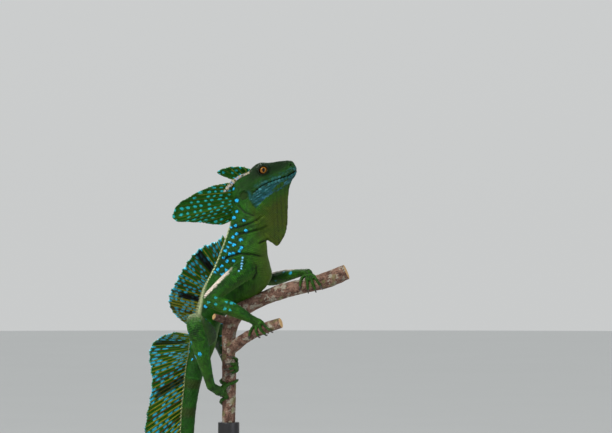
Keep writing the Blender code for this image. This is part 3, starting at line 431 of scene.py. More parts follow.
def smooth(table, t):
    """Values of a table at fractional row numbers, on a curve through every row."""
    table = np.asarray(table, float)
    t = np.clip(np.atleast_1d(np.asarray(t, float)), 0, len(table) - 1)
    i = np.minimum(t.astype(int), len(table) - 2)
    f = (t - i)[:, None]
    p1, p2 = table[i], table[i + 1]
    p0 = np.where(i[:, None] > 0, table[np.maximum(i - 1, 0)], 2 * p1 - p2)
    last = i[:, None] + 2 > len(table) - 1
    p3 = np.where(last, 2 * p2 - p1, table[np.minimum(i + 2, len(table) - 1)])
    m1, m2 = (p2 - p0) / 2, (p3 - p1) / 2
    f2, f3 = f * f, f * f * f
    return p1 * (2 * f3 - 3 * f2 + 1) + m1 * (f3 - 2 * f2 + f) + p2 * (3 * f2 - 2 * f3) + m2 * (f3 - f2)


def noise(points, size, seed=0):
    """Smooth variation between about -1 and 1, with features this many millimetres across."""
    random = np.random.default_rng(seed)
    total = 0.0
    for octave in range(7):
        direction = unit(random.normal(size=3)) * 2 * math.pi / size * (0.6 + 0.2 * octave)
        total = total + np.sin(points @ direction + random.uniform(0, 6.28))
    return total / 3.2


def hashed(i, j, seed):
    """An even spread between 0 and 1, the same each time for the same numbers."""
    value = np.sin(i * 127.1 + j * 311.7 + seed * 74.7) * 43758.5453
    return value - np.floor(value)


def dots(places, cell, radius, chance, seed):
    """1 inside scattered round spots, 0 outside. A share of the cells holds one spot each."""
    found = np.zeros(len(places))
    corner = np.floor(places / cell)
    for step in itertools.product((-1, 0, 1), repeat=places.shape[1]):
        at = corner + np.array(step)
        i, j = at[:, 0] + 57.3 * at[:, 2:].sum(1), at[:, 1]
        shift = np.stack([hashed(i, j, seed + 0.3 * axis) for axis in range(places.shape[1])], 1) - 0.5
        size = radius * (0.7 + 0.6 * hashed(i, j, seed + 2))
        near = length(places - (at + 0.5 + 0.55 * shift) * cell) / size
        shown = hashed(i, j, seed + 3) < chance
        found = np.maximum(found, np.clip((1.2 - near) / 0.35, 0, 1) * shown)
    return found


def dashes(ray, along, pitch, long, wide, chance, seed):
    """1 inside a row of dashes midway between each two rays."""
    row = np.floor(ray)
    place = along / pitch + 3 * hashed(row, row * 2, seed)
    cell = np.floor(place)
    centre = 0.5 + 0.3 * (hashed(row, cell, seed + 1) - 0.5)
    size = 0.65 + 0.6 * hashed(row, cell, seed + 2)
    near = np.hypot((place - cell - centre) * pitch / (long / 2 * size), (ray - row - 0.5) / wide)
    return np.clip((1.25 - near) / 0.4, 0, 1) * (hashed(row, cell, seed + 3) < chance)


def nearest_of(points):
    """A tree that finds the nearest of the given points."""
    tree = KDTree(len(points))
    for i, point in enumerate(points.tolist()):
        tree.insert(point, i)
    tree.balance()
    return tree


# Surfaces. Each gives closed rings of points for place numbers along its table.


def circle(sides):
    return -math.pi / 2 + np.linspace(0, 2 * math.pi, sides, endpoint=False)


def trunk_lines(t):
    """The trunk's stations at place numbers, with the points on its back and on its underside."""
    v = smooth(TRUNK_STATIONS, t)
    return v, v[:, [0, 4, 1]], v[:, [2, 4, 3]]


def body_rings(t, angles):
    """Rings of the neck, trunk and tail. Angle 90 degrees is the back line."""
    v, back, under = trunk_lines(t)
    _, back_before, under_before = trunk_lines(t - 0.1)
    _, back_after, under_after = trunk_lines(t + 0.1)
    run = (back_after + under_after) - (back_before + under_before)
    up = unit(back - under)
    side = unit(np.cross(unit(run), up))
    sine, cosine = np.sin(angles), np.cos(angles)
    wide = np.sign(cosine)[None] * np.abs(cosine)[None] ** v[:, 7:8]
    wide = wide * (1 - v[:, 6:7] * (sine[None] + 1) / 2) * v[:, 5:6]
    tall = sine[None] * (length(back - under) / 2)[:, None]
    centre = (back + under) / 2
    return centre[:, None] + side[:, None] * wide[..., None] + up[:, None] * tall[..., None]


def back_line(t):
    """The back line, the middle of the body below it, and the sideways direction."""
    rings = body_rings(t, np.array([math.pi / 2, -math.pi / 2, 0.0, math.pi]))
    return rings[:, 0], (rings[:, 0] + rings[:, 1]) / 2, unit(rings[:, 2] - rings[:, 3])


def head_point(forward, up, out=0.0):
    forward, up = np.asarray(forward, float), np.asarray(up, float)
    x = EAR_X + forward * math.cos(HEAD_TILT) - up * math.sin(HEAD_TILT)
    z = EAR_Z + forward * math.sin(HEAD_TILT) + up * math.cos(HEAD_TILT)
    return np.stack([x, np.broadcast_to(out, x.shape), z], -1)


def head_axes(points):
    """Forward and up in the head's own axes."""
    x, z = points[..., 0] - EAR_X, points[..., 2] - EAR_Z
    forward = x * math.cos(HEAD_TILT) + z * math.sin(HEAD_TILT)
    return forward, z * math.cos(HEAD_TILT) - x * math.sin(HEAD_TILT)


def head_rings(t, angles):
    v = smooth(HEAD_STATIONS, t)
    top, bottom = v[:, 0:2], v[:, 2:4]
    centre, half = (top + bottom) / 2, length(top - bottom)[:, None] / 2
    up = unit(top - bottom)
    sine, cosine = np.sin(angles)[None], np.cos(angles)[None]
    wide = np.sign(cosine) * np.abs(cosine) ** v[:, 6:7] * (1 - v[:, 5:6] * (sine + 1) / 2) * v[:, 4:5]
    forward, height = (centre[:, i:i + 1] + up[:, i:i + 1] * half * sine for i in (0, 1))
    return head_point(forward, height, wide)


def tube_rings(path, t, angles, reach=0.05):
    """Round rings along a path whose rows are x, y, z and half thickness.

    Each ring faces along the path, taken over this reach of place numbers to both sides."""
    values = smooth(path, t)
    tangent = unit(smooth(path, t + reach)[:, :3] - smooth(path, t - reach)[:, :3])
    side = np.zeros_like(tangent)
    previous = np.array([0.1, 1.0, 0.2])
    for i, direction in enumerate(tangent):
        previous = unit(previous - direction * (previous @ direction))
        side[i] = previous
    up = np.cross(tangent, side)
    around = side[:, None] * np.cos(angles)[None, :, None]
    around = around + up[:, None] * np.sin(angles)[None, :, None]
    return values[:, None, :3] + around * np.maximum(values[:, 3:4], 0.05)[:, None]


def tube(path, steps, sides, reach=0.05):
    return loft(tube_rings(path, np.linspace(0, len(path) - 1, steps), circle(sides), reach))


def fin_line(pairs, t):
    """Root and edge points of an upright fin at place numbers along its table."""
    line = smooth(pairs, t)
    return np.insert(line[:, 0:2], 1, 0.0, axis=1), np.insert(line[:, 2:4], 1, 0.0, axis=1)


def fold_round(sides):
    """Share from root to edge and back again, with the side of the fin at each step."""
    place = np.linspace(0, 2, sides, endpoint=False) + 1.0 / sides
    return np.where(place < 1, place, 2 - place), np.where(place < 1, 1.0, -1.0)


def fan_rings(t, angles):
    """The throat fan as flat closed rings, with as many points as angles, from root to edge and back."""
    root, edge = fin_line(THROAT_FAN, t)
    share, face = fold_round(len(angles))
    place = t[:, None] / (len(THROAT_FAN) - 1)
    fold = 1 + 0.1 * np.cos(5 * math.pi * place)
    half = FAN_EDGE_HALF + (FAN_ROOT_HALF - FAN_EDGE_HALF) * (1 - share[None]) ** 1.5 * fold
    half = half * np.sqrt(np.clip((1.02 - share) / 0.06, 0, 1))[None]
    out = 0.8 * np.sin(4 * place) * share[None] ** 1.5 + face[None] * half
    middle = root[:, None] + (edge - root)[:, None] * share[None, :, None]
    return middle + out[..., None] * np.array([0.0, 1.0, 0.0])


def round_branch(path, t, angle, clear):
    """A point at an angle around a branch, this far off its surface.

    Angle 0 is up, 90 is toward the viewer."""
    at = smooth(path, t)[0]
    tangent = unit(smooth(path, t + 0.05)[0, :3] - smooth(path, t - 0.05)[0, :3])
    rise = np.array([0.0, 0.0, 1.0] if abs(tangent[2]) <= 0.8 else [-1.0, 0.0, 0.0])
    rise = unit(rise - tangent * (rise @ tangent))
    near = np.cross(rise, tangent)
    if near[1] > 0:
        near = -near
    turn = math.radians(angle)
    return at[:3] + (rise * math.cos(turn) + near * math.sin(turn)) * (at[3] + clear)


def digit_path(branch, digit, palm):
    """Centre line and half thickness of a finger, from the palm to where its claw begins."""
    t0, a0, t1, a1, half = digit
    rows = [(*palm, half * 1.25)]
    for i, share in enumerate(np.linspace(0, 0.9, 10)):
        thick = half * (1.0 - 0.32 * share)
        swell = 1.1 if i in KNUCKLES else 0.97
        t, angle = t0 + (t1 - t0) * share, a0 + (a1 - a0) * share
        rows.append((*round_branch(branch, t, angle, thick * 0.8), thick * swell))
    return rows


def claw_path(branch, digit):
    """A claw that arches up from the last joint and comes down on the bark."""
    t0, a0, t1, a1, half = digit
    over = math.copysign(CLAW_REACH, a1 - a0)
    rows = []
    for share, beyond, lift, thick in CLAW_STEPS:
        t, angle = t0 + (t1 - t0) * share, a0 + (a1 - a0) * share + over * beyond
        rows.append((*round_branch(branch, t, angle, half * lift), half * thick))
    return rows


def palm_path(path, palm):
    """The palm, from the wrist to a rounded end over the branch."""
    before, wrist = smooth(path, len(path) - 1.3)[0], smooth(path, len(path) - 1.0)[0]
    centre, wide = np.array(palm[0]), palm[1]
    run = unit(centre - wrist[:3])
    rows = [tuple(before), tuple(wrist), (*(wrist[:3] * 0.45 + centre * 0.55), wide * 0.92)]
    ends = ((0.0, 1.0), (0.6, 0.78), (1.0, 0.3))
    return rows + [(*(centre + run * wide * ahead), wide * share) for ahead, share in ends]


# Meshes


def loft(rings):
    """Points and triangles of a closed body through a row of rings, with a flat fan at each end."""
    rings = np.asarray(rings, float)
    count, sides = rings.shape[:2]
    points = np.concatenate([rings.reshape(-1, 3), [rings[0].mean(0), rings[-1].mean(0)]])
    row, j = np.meshgrid(np.arange(count - 1) * sides, np.arange(sides), indexing="ij")
    k = (j + 1) % sides
    quads = np.stack([row + j, row + k, row + sides + k, row + sides + j], -1).reshape(-1, 4)
    j, k, end = j[0], k[0], (count - 1) * sides
    first = np.stack([np.full(sides, count * sides), k, j], 1)
    last = np.stack([np.full(sides, count * sides + 1), end + j, end + k], 1)
    return points, np.concatenate([quads[:, [0, 1, 2]], quads[:, [0, 2, 3]], first, last])


def joined(pieces):
    """Several meshes as one list of points and one of faces."""
    starts = np.cumsum([0] + [len(points) for points, _ in pieces])
    faces = [faces + start for (_, faces), start in zip(pieces, starts)]
    return np.concatenate([points for points, _ in pieces]), np.concatenate(faces)


def mesh_data(name, points, faces):
    mesh = bpy.data.meshes.new(name)
    faces = np.ascontiguousarray(faces, np.int32)
    mesh.vertices.add(len(points))
    mesh.vertices.foreach_set("co", np.ascontiguousarray(points, np.float32).ravel())
    mesh.loops.add(faces.size)
    mesh.loops.foreach_set("vertex_index", faces.ravel())
    mesh.polygons.add(len(faces))
    mesh.polygons.foreach_set("loop_start", np.arange(0, faces.size, faces.shape[1], dtype=np.int32))
    mesh.polygons.foreach_set("use_smooth", np.ones(len(faces), bool))
    mesh.update(calc_edges=True)
    return mesh


def added(name, data):
    """A new object in the scene."""
    obj = bpy.data.objects.new(name, data)
    bpy.context.scene.collection.objects.link(obj)
    return obj


def piece(name, points, faces, material, slot, colours=None, uv=None):
    """A finished piece of the model, with its colours and its map of coat places if it has them."""
    mesh = mesh_data(name, world(points), faces)
    if colours is not None:
        paint = mesh.attributes.new("paint", "FLOAT_COLOR", "POINT")
        rgba = np.concatenate([np.clip(colours, 0, 1), np.ones((len(points), 1))], 1)
        paint.data.foreach_set("color", rgba.astype(np.float32).ravel())
    if uv is not None:
        layer = mesh.uv_layers.new(name="OFBake")
        layer.data.foreach_set("uv", uv[np.asarray(faces).ravel()].astype(np.float32).ravel())
    mesh.materials.append(material)
    obj = added(name, mesh)
    print(name, len(faces), "faces")
    return obj


def remeshed(pieces, voxel):
    """One closed surface round the given bodies, as points and quads."""
    obj = added("source", mesh_data("source", *joined(pieces)))
    modifier = obj.modifiers.new("remesh", "REMESH")
    modifier.mode = "VOXEL"
    modifier.voxel_size = voxel
    bpy.context.view_layer.update()
    mesh = bpy.data.meshes.new_from_object(obj.evaluated_get(bpy.context.evaluated_depsgraph_get()))
    points = np.empty(len(mesh.vertices) * 3, np.float32)
    mesh.vertices.foreach_get("co", points)
    faces = np.empty(len(mesh.loops), np.int32)
    mesh.loops.foreach_get("vertex_index", faces)
    bpy.data.objects.remove(obj)
    bpy.data.meshes.remove(mesh)
    return points.reshape(-1, 3).astype(float), faces.reshape(-1, 4)


def edges_of(faces):
    sides = faces.shape[1]
    ends = np.concatenate([faces[:, [i, (i + 1) % sides]] for i in range(sides)])
    return np.unique(np.sort(ends, axis=1), axis=0)


def relax(points, edges, rounds, weight=1.0, keep_size=True):
    """Smooths a surface. Keeping its size takes a step back after each step."""
    a, b = edges.T
    count = np.bincount(edges.ravel(), minlength=len(points))[:, None]
    weight = np.broadcast_to(weight, len(points))[:, None]
    for i in range(rounds):
        total = np.empty_like(points)
        for axis in range(3):
            total[:, axis] = np.bincount(a, points[b, axis], len(points))
            total[:, axis] += np.bincount(b, points[a, axis], len(points))
        step = -0.53 if keep_size and i % 2 else 0.5
        points = points + (total / count - points) * step * weight
    return points


def normals_of(points, faces):
    corner = points[faces]
    across = np.cross(corner[:, 2] - corner[:, 0], corner[:, -1] - corner[:, 1])
    total = np.zeros_like(points)
    for axis in range(3):
        total[:, axis] = np.bincount(faces.ravel(), np.repeat(across[:, axis], faces.shape[1]), len(points))
    return unit(total)


def refined(points, faces, chosen):
    """Splits the chosen quads in eight triangles, and the other quads in two, or more to meet them."""
    halfway = {}
    points = list(points)

    def middle(a, b):
        key = (a, b) if a < b else (b, a)
        if key not in halfway:
            halfway[key] = len(points)
            points.append((points[a] + points[b]) / 2)
        return halfway[key]

    def centre_of(face):
        points.append(sum(points[i] for i in face) / 4)
        return len(points) - 1

    made = []
    for face in faces[chosen].tolist():
        halves = [middle(a, b) for a, b in zip(face, face[1:] + face[:1])]
        centre = centre_of(face)
        for i in range(4):
            made += [(face[i], halves[i], centre), (centre, halves[i - 1], face[i])]
    for face in faces[~chosen].tolist():
        ring = []
        for a, b in zip(face, face[1:] + face[:1]):
            half = halfway.get((a, b) if a < b else (b, a))
            ring += [a] if half is None else [a, half]
        if len(ring) == 4:
            made += [(face[0], face[1], face[2]), (face[0], face[2], face[3])]
        else:
            centre = centre_of(face)
            made += [(a, b, centre) for a, b in zip(ring, ring[1:] + ring[:1])]
    return np.array(points), np.array(made, np.int32)


# Body charts: each limb, digit and length of trunk with the place numbers that its paint uses


def chart(part, rings_at, last, steps, sides, first=0.0):
    """A surface with its rings, the place of each ring and the angle of each point on it."""
    t, angles = np.linspace(first, last, steps), circle(sides)
    return dict(part=part, rings_at=rings_at, t=t, angles=angles, rings=rings_at(t, angles))


def tube_chart(part, path, reach, steps, sides, first=0.0):
    def rings_at(t, angles):
        return tube_rings(path, t, angles, reach)
    return chart(part, rings_at, len(path) - 1.0, steps, sides, first)


def body_charts():
    charts = [
        chart("head", head_rings, 11.0, 90, 96),
        chart("trunk", body_rings, len(TRUNK_STATIONS) - 1.0, 620, 72),
        chart("fan", fan_rings, len(THROAT_FAN) - 1.0, 70, 60),
    ]
    for limb, path in LIMBS.items():
        charts.append(tube_chart(limb, path, 1.6 if limb.startswith("leg") else 1.0, 130, 36))
    for hand, spec in HANDS.items():
        charts.append(tube_chart(hand, palm_path(LIMBS[spec["wrist"]], spec["palm"]), 0.3, 44, 22, 0.5))
        for digit in spec["digits"]:
            charts.append(tube_chart(hand, digit_path(spec["branch"], digit, spec["palm"][0]), 0.3, 44, 22))
    return charts


def nearest_chart(charts, points):
    """For each point the chart, place and angle of the surface point nearest to it."""
    places = [np.stack(np.broadcast_arrays(i, item["t"][:, None], item["angles"]), -1).reshape(-1, 3)
              for i, item in enumerate(charts)]
    tree = nearest_of(np.concatenate([item["rings"].reshape(-1, 3) for item in charts]))
    return np.concatenate(places)[[tree.find(point)[1] for point in points.tolist()]]


def parts_of(charts, places):
    return np.array([item["part"] for item in charts])[places[:, 0].astype(int)]


def mouth_height(forward):
    return np.interp(forward, MOUTH_FORWARD, MOUTH_UP)


def ear_away(forward, up):
    return np.hypot(forward - EAR_HOLE[0], up - EAR_HOLE[1])


def nostril_away(forward, up):
    return np.hypot(forward - NOSTRIL[0], up - NOSTRIL[1])


def eye_ring(forward, up):
    """1 on the edge of the opening between the lids, 0 at its middle."""
    return np.hypot((forward - EYE_FORWARD) / LID_OPENING[0], (up - EYE_UP) / LID_OPENING[1])


def lid_ball(forward, up, least):
    """How far the ball under the lids stands out from the eye's centre, squared no less than least."""
    square = (EYE_RADIUS + LID_THICK) ** 2 - (forward - EYE_FORWARD) ** 2 - (up - EYE_UP) ** 2
    return np.sqrt(np.clip(square, least, None))


def near_line(points, line):
    """Distance in side view from each point to a line of x, z points, and the share along it."""
    best, place = np.full(len(points), 1e9), np.zeros(len(points))
    flat = points[:, [0, 2]]
    for i in range(len(line) - 1):
        a, b = np.array(line[i]), np.array(line[i + 1])
        share = np.clip((flat - a) @ (b - a) / ((b - a) @ (b - a)), 0, 1)
        away = length(flat - a - share[:, None] * (b - a))
        place = np.where(away < best, (i + share) / (len(line) - 1), place)
        best = np.minimum(best, away)
    return best, place


def ends_fade(place):
    """1 along a line, falling to 0 at both of its ends."""
    return ramp(place, 0.0, 0.12) * ramp(place, 1.0, 0.85)


def head_relief(points):
    """How far the side of the head stands out past its plain outline."""
    forward, up = head_axes(points)
    mouth = mouth_height(forward)
    side = ramp(np.abs(points[:, 1]), 0.4, 2.5)
    fade = ramp(forward, 5, 13) * ramp(forward, 46.5, 43.5) * side
    scallop = 0.75 + 0.25 * np.cos(2 * math.pi * forward / LABIAL_LENGTH)
    relief = -1.0 * bell(up - mouth, 0.42) * fade
    relief += 0.5 * bell(up - mouth - 1.5, 0.9) * fade * scallop
    relief += 0.45 * bell(up - mouth + 1.5, 0.9) * fade * scallop
    for height, at_forward, at_up, wide, tall in HEAD_FORMS:
        bump = np.exp(-(((forward - at_forward) / wide) ** 2) - ((up - at_up) / tall) ** 2)
        relief += height * bump * side
    ear = ear_away(forward, up)
    relief -= 1.3 * ramp(ear, EAR_RADIUS + 0.3, EAR_RADIUS - 0.7) * side
    return relief + 0.25 * bell(ear - EAR_RADIUS - 0.7, 0.7) * side


def fold_relief(points):
    """Skin folds of the neck, chest and shoulder, which run down both sides."""
    relief = np.zeros(len(points))
    side = ramp(np.abs(points[:, 1]), 1.5, 5.0)
    for depth, wide, line in FOLDS + [(-0.7, 1.1, HEAD_RIDGE)]:
        away, place = near_line(points, line)
        fade = ends_fade(place) * side
        relief -= depth * bell(away, wide) * fade
        relief += 0.35 * depth * bell(away - 2.4 * wide, 1.2 * wide) * fade
    return relief


def with_lids(points):
    """Moves the skin round each eye out to the lids, and inside their opening down into the eyeball."""
    forward, up = head_axes(points)
    ring = eye_ring(forward, up)
    out = np.abs(points[:, 1])
    ball = lid_ball(forward, up, 0)
    raised = np.where(ball > 0.5, np.maximum(out, EYE_OUT + ball), out)
    raised = raised + 0.22 * np.cos((ring - 1.22) * 2 * math.pi / 0.42) * ramp(ring, 2.0, 1.6) * (ball > 0.5)
    target = mix(raised, EYE_OUT + 1.5, ramp(ring, 1.03, 0.93))
    moved = points.copy()
    moved[:, 1] = np.where((out > 3) & (ring < 2.6), np.sign(points[:, 1]) * target, points[:, 1])
    return moved


def blended(points, edges):
    """The skin made smoother where limbs, neck and throat fan grow out of it."""
    blend = np.zeros(len(points))
    for path in LIMBS.values():
        for place, wide in ((1.4, 9.0), (len(path) - 1.0, 3.5)):
            blend = np.maximum(blend, bell(length(points - smooth(path, place)[0, :3]), wide))
    neck = length(points - np.array([4.0, 0.0, 503.0]))
    blend = np.maximum(blend, bell(np.maximum(neck - 14, 0), 5) * 0.8)
    away, _ = near_line(points, [row[:2] for row in THROAT_FAN])
    blend = np.maximum(blend, bell(away, 4) * (np.abs(points[:, 1]) > 1))
    return relax(points, edges, 40, np.clip(blend * 1.3, 0, 1), False)


def make_skin_surface(charts):
    """The one skin of head, body and limbs, a coat's depth inside the solids, before and after its folds."""
    points, faces = remeshed([loft(item["rings"]) for item in charts], SKIN_VOXEL)
    edges = edges_of(faces)
    points = blended(relax(points, edges, 4), edges)
    normals = normals_of(points, faces)
    parts = parts_of(charts, nearest_chart(charts, points))
    on_hand = np.char.startswith(parts, "hand") | np.char.startswith(parts, "foot")
    points = points - normals * np.where(on_hand, COAT * 0.5, COAT)[:, None]
    centre = points[faces].mean(1)
    forward, up = head_axes(centre)
    on_muzzle = (forward > -4) & (forward < 47) & (up > -9) & (up < 18) & (np.abs(centre[:, 1]) > 1.0)
    points, faces = refined(points, faces, on_muzzle)
    normals = normals_of(points, faces)
    forward, up = head_axes(points)
    on_head = ramp(forward, -5, -1) * ramp(np.abs(up), 20, 17) * (np.abs(points[:, 1]) > 0.3)
    shape = points + normals * fold_relief(points)[:, None]
    shape = with_lids(shape + normals * (head_relief(points) * on_head)[:, None])
    shape = shape + normals * (0.05 * noise(points, 1.1, 3) + 0.08 * noise(points, 3.0, 4))[:, None]
    return points, shape, faces, nearest_chart(charts, points)


# Colours of the body, the same for the skin and for the scales on it


def srgb(code):
    """A colour written as in a paint program, as the linear values that Blender takes."""
    value = np.array([int(code[i:i + 2], 16) for i in (1, 3, 5)]) / 255
    return np.where(value <= 0.04045, value / 12.92, ((value + 0.055) / 1.055) ** 2.4)


DEEP_GREEN = srgb("#072404")
LEAF_GREEN = srgb("#1d560c")
LIGHT_GREEN = srgb("#387612")
OLIVE = srgb("#384407")
DARK_OLIVE = srgb("#28330b")
BELLY = srgb("#52701c")
TEAL = srgb("#185660")
PALE_TEAL = srgb("#4f8c94")
JAW_BLUE = srgb("#235a78")
SPOT = srgb("#22b2ec")
PALE_SPOT = SPOT * 0.8 + 0.16
CREST_SPOT = srgb("#2fc4cc")
TEAL_SPOT = srgb("#27a3ae")
PALE_LINE = srgb("#d2dcae")
# Pale colour along the top of the arms: partly the arms' own pale scales, partly painted highlight
PALE_ARM_AND_HIGHLIGHT = srgb("#d8ccc0")
# Colour of the head's ridge: partly its own pale scales, partly painted highlight
PALE_RIDGE_AND_HIGHLIGHT = srgb("#b7ae98")
RIDGE_BLUE = srgb("#8fa6cc")
EAR_DISC = srgb("#22400f")
BLACK = srgb("#0a0f0a")
RUST = srgb("#59400e")
RAY_OLIVE = srgb("#868822")
SAIL_GREEN = srgb("#1e6014")
SAIL_SPOT = srgb("#35bde2")
EDGE_BLUE = srgb("#9adcec")
CLAW = srgb("#2a2014")


def layered(colour, *layers):
    """Lays each colour over the ones before it, by its share at each point."""
    for layer, share in layers:
        colour = mix(colour, layer, np.reshape(np.clip(share, 0, 1), (-1, 1)))
    return colour


def spots_of(points, centres, radius, left):
    """1 inside oval spots at the given x, z places, 0 outside. The left side has them a little off."""
    found = np.zeros(len(points))
    x, z = points[:, 0] + 1.3 * left, points[:, 2] + 1.9 * left
    for i, (at_x, at_z) in enumerate(centres):
        size = radius * (0.85 + 0.3 * hashed(i, 1.0, 48))
        near = np.hypot((x - at_x) / 1.25, z - at_z) / size
        found = np.maximum(found, np.clip((1.15 - near) / 0.3, 0, 1))
    return found


def trunk_places(t, angle):
    """Distance along the body, distance round it from the back line, and degrees from the back line."""
    table = np.linspace(0, len(TRUNK_STATIONS) - 1, 400)
    _, middle, _ = back_line(table)
    long = np.concatenate([[0], np.cumsum(length(np.diff(middle, axis=0)))])
    size, back, under = trunk_lines(t)
    radius = (size[:, 5] + length(back - under) / 2) / 2
    turn = np.abs((np.degrees(angle) - 90 + 180) % 360 - 180)
    return np.interp(t, table, long), np.radians(turn) * radius, turn


def folds_near(points):
    """Distance to the nearest fold line, and a fade to nothing at its ends."""
    best, fade = np.full(len(points), 9.0), np.zeros(len(points))
    for _, _, line in FOLDS:
        away, place = near_line(points, line)
        fade = np.where(away < best, ends_fade(place), fade)
        best = np.minimum(best, away)
    return best, fade


def ridge_layer(points):
    """The pale ridge with its dark gaps at the back of the head, pale partly in its own colour and partly as
    a painted highlight on its top.
    """
    away, place = near_line(points, HEAD_RIDGE)
    return PALE_RIDGE_AND_HIGHLIGHT, 0.9 * ramp(away, 1.7, 1.1) * beat(place * 15, 0.44) * ramp(place, 1.0, 0.85)


def trunk_paint(colour, t, angle, points):
    along, around, turn = trunk_places(t, angle)
    left = points[:, 1] > smooth(TRUNK_STATIONS, t)[:, 4]
    patch, lines = noise(points, 7.0, 31), np.abs(noise(points, 4.4, 33))
    bands = ramp(beat((along - 8) / TAIL_BAND), 0.55, 0.95) * ramp(t, 13.5, 16)
    chance = 0.6 * ramp(turn, 80, 40) * ramp(t, 11.5, 12.5) * ramp(t, 17.5, 14.0)
    spots = dots(np.stack([along / 1.25, around], 1), SPOT_CELL, SPOT_RADIUS, chance, 40)
    traced = spots_of(points, NECK_SPOTS, NECK_SPOT_RADIUS, left)
    dark = np.maximum(spots_of(points, NECK_SPOTS, 1.75, left) - traced, 0)
    away, fade = folds_near(points)
    reach = ramp(t, 3.2, 4.2) * ramp(t, 13.6, 12.6)
    lower_back_highlight = ramp(t, 8.2, 9.4) * ramp(t, 12.5, 10.8) * ramp(around, 9.5, 5.5)
    ear = ear_away(*head_axes(points))
    return layered(
        colour,
        (LIGHT_GREEN, 0.35 * ramp(turn, 60, 105) * ramp(patch, -0.6, 0.8) * ramp(t, 15, 11)),
        (BELLY, 0.6 * ramp(turn, 125, 160) * ramp(t, 16, 13)),
        (OLIVE, 0.5 * ramp(turn, 85, 140) * ramp(t, 12, 8)),
        (DEEP_GREEN, 0.6 * ramp(lines, 0.16, 0.02) * ramp(turn, 130, 80)),
        (DARK_OLIVE, 0.75 * bands),
        (OLIVE, 0.6 * ramp(t, 18.5, 24) * (1 - 0.7 * bands)),
        (DEEP_GREEN, 0.6 * dark),
        (SPOT, np.maximum(spots, traced) * ramp(turn, 6, 10)),
        (PALE_SPOT, spots_of(points, LATERAL_DOTS, DOT_RADIUS, left) * (~left)),
        # Black along the skin folds: painted shade in their creases
        (BLACK, 0.75 * ramp(away, 1.0, 0.35) * ramp(turn, 20, 35) * fade),
        (PALE_LINE, 0.8 * ramp(around, 5.4, 4.4) * reach * beat(along / 2.6, 0.3)),
        (OLIVE, 0.9 * ramp(around, 4.0, 3.5) * reach),
        (PALE_LINE, ramp(around, 2.9, 2.4) * reach),
        (LEAF_GREEN, 0.75 * ramp(around, 1.8, 1.2) * reach),
        # A pale band along the back line of the lower back: painted highlight
        (PALE_LINE * 0.8, 0.55 * lower_back_highlight),
        ridge_layer(points),
        (EAR_DISC, ramp(ear, EAR_RADIUS, EAR_RADIUS - 0.7)),
        (PALE_LINE, 0.35 * ramp(around, 1.6, 0.6) * ramp(t, 15, 17) * ramp(t, 27, 22)),
    )


def head_paint(colour, points):
    forward, up = head_axes(points)
    over_mouth = up - mouth_height(forward)
    streak = noise(np.stack([forward * 0.35, up * 1.6, points[:, 1] * 0.2], 1), 3.4, 51)
    jaw_low = mix(-12.5, -9.5, np.clip((forward - 4) / 33, 0, 1))
    jaw = ramp(up, jaw_low - 0.8, jaw_low + 1.6) * ramp(over_mouth, -0.4, -1.6) * ramp(forward, 1.5, 7)
    low = bell(up - jaw_low - 2.2, 1.7) * ramp(forward, 8, 13) * ramp(forward, 36, 28)
    upper = ramp(over_mouth, 0.4, 1.0) * ramp(over_mouth, 5.0, 2.6) * ramp(forward, 8, 16)
    lips = bell(over_mouth, 0.32) * ramp(forward, 5, 12) * (0.65 + 0.35 * ramp(forward, 10, 20))
    ring, outer = eye_ring(forward, up), np.abs(points[:, 1]) > 5
    ear = ear_away(forward, up)
    return layered(
        colour,
        # Darker over the upper head and all over it: partly the head's own dark green, partly painted shade
        # on the side of the head
        (DEEP_GREEN * 0.7, 0.88 * ramp(over_mouth, 3.5, 9) * ramp(forward, 4, 18)),
        (DEEP_GREEN, 0.4),
        (TEAL, jaw * (0.72 + 0.3 * streak)),
        (PALE_TEAL, 0.6 * jaw * ramp(streak, 0.3, 0.9)),
        (JAW_BLUE, 0.7 * low),
        (DEEP_GREEN, 0.55 * jaw * ramp(streak, -0.2, -0.8)),
        (TEAL, 0.5 * upper * ramp(streak, -0.5, 0.7)),
        (PALE_TEAL, 0.2 * upper * ramp(streak, 0.4, 1.0)),
        (BLACK, 0.8 * lips),
        (BLACK, 0.92 * ramp(ring, 1.75, 1.3) * outer),
        (DEEP_GREEN, 0.5 * ramp(ring, 2.4, 1.6) * outer),
        (EAR_DISC, 0.85 * ramp(ear, EAR_RADIUS, EAR_RADIUS - 0.9)),
        (TEAL, 0.6 * bell(ear - EAR_RADIUS - 1.2, 1.0) * ramp(up, 3, -1)),
        (SPOT, spots_of(points, NECK_SPOTS, NECK_SPOT_RADIUS, points[:, 1] > 0)),
        ridge_layer(points),
        # Black in the nostril: painted shade inside its opening
        (BLACK, 0.9 * ramp(nostril_away(forward, up), 0.9, 0.5)),
    )


def fan_paint(colour, points):
    _, up = head_axes(points)
    x, z = points[:, 0], points[:, 2]
    patch = noise(points, 8.0, 61)
    lines = np.abs(np.sin(math.pi * (x + 0.05 * z) / 3.1))
    return layered(
        colour,
        (OLIVE, 0.85 + 0.15 * patch),
        (LEAF_GREEN, 0.6 * ramp(up, -18, -11) + 0.3 * ramp(x, 24, 13)),
        (BLACK, 0.75 * beat(z / 2.2) * ramp(lines, 0.55, 0.25) * ramp(x, 21, 27)),
        (BELLY, 0.3 * ramp(patch, 0.1, 0.8) * ramp(x, 25, 20)),
    )


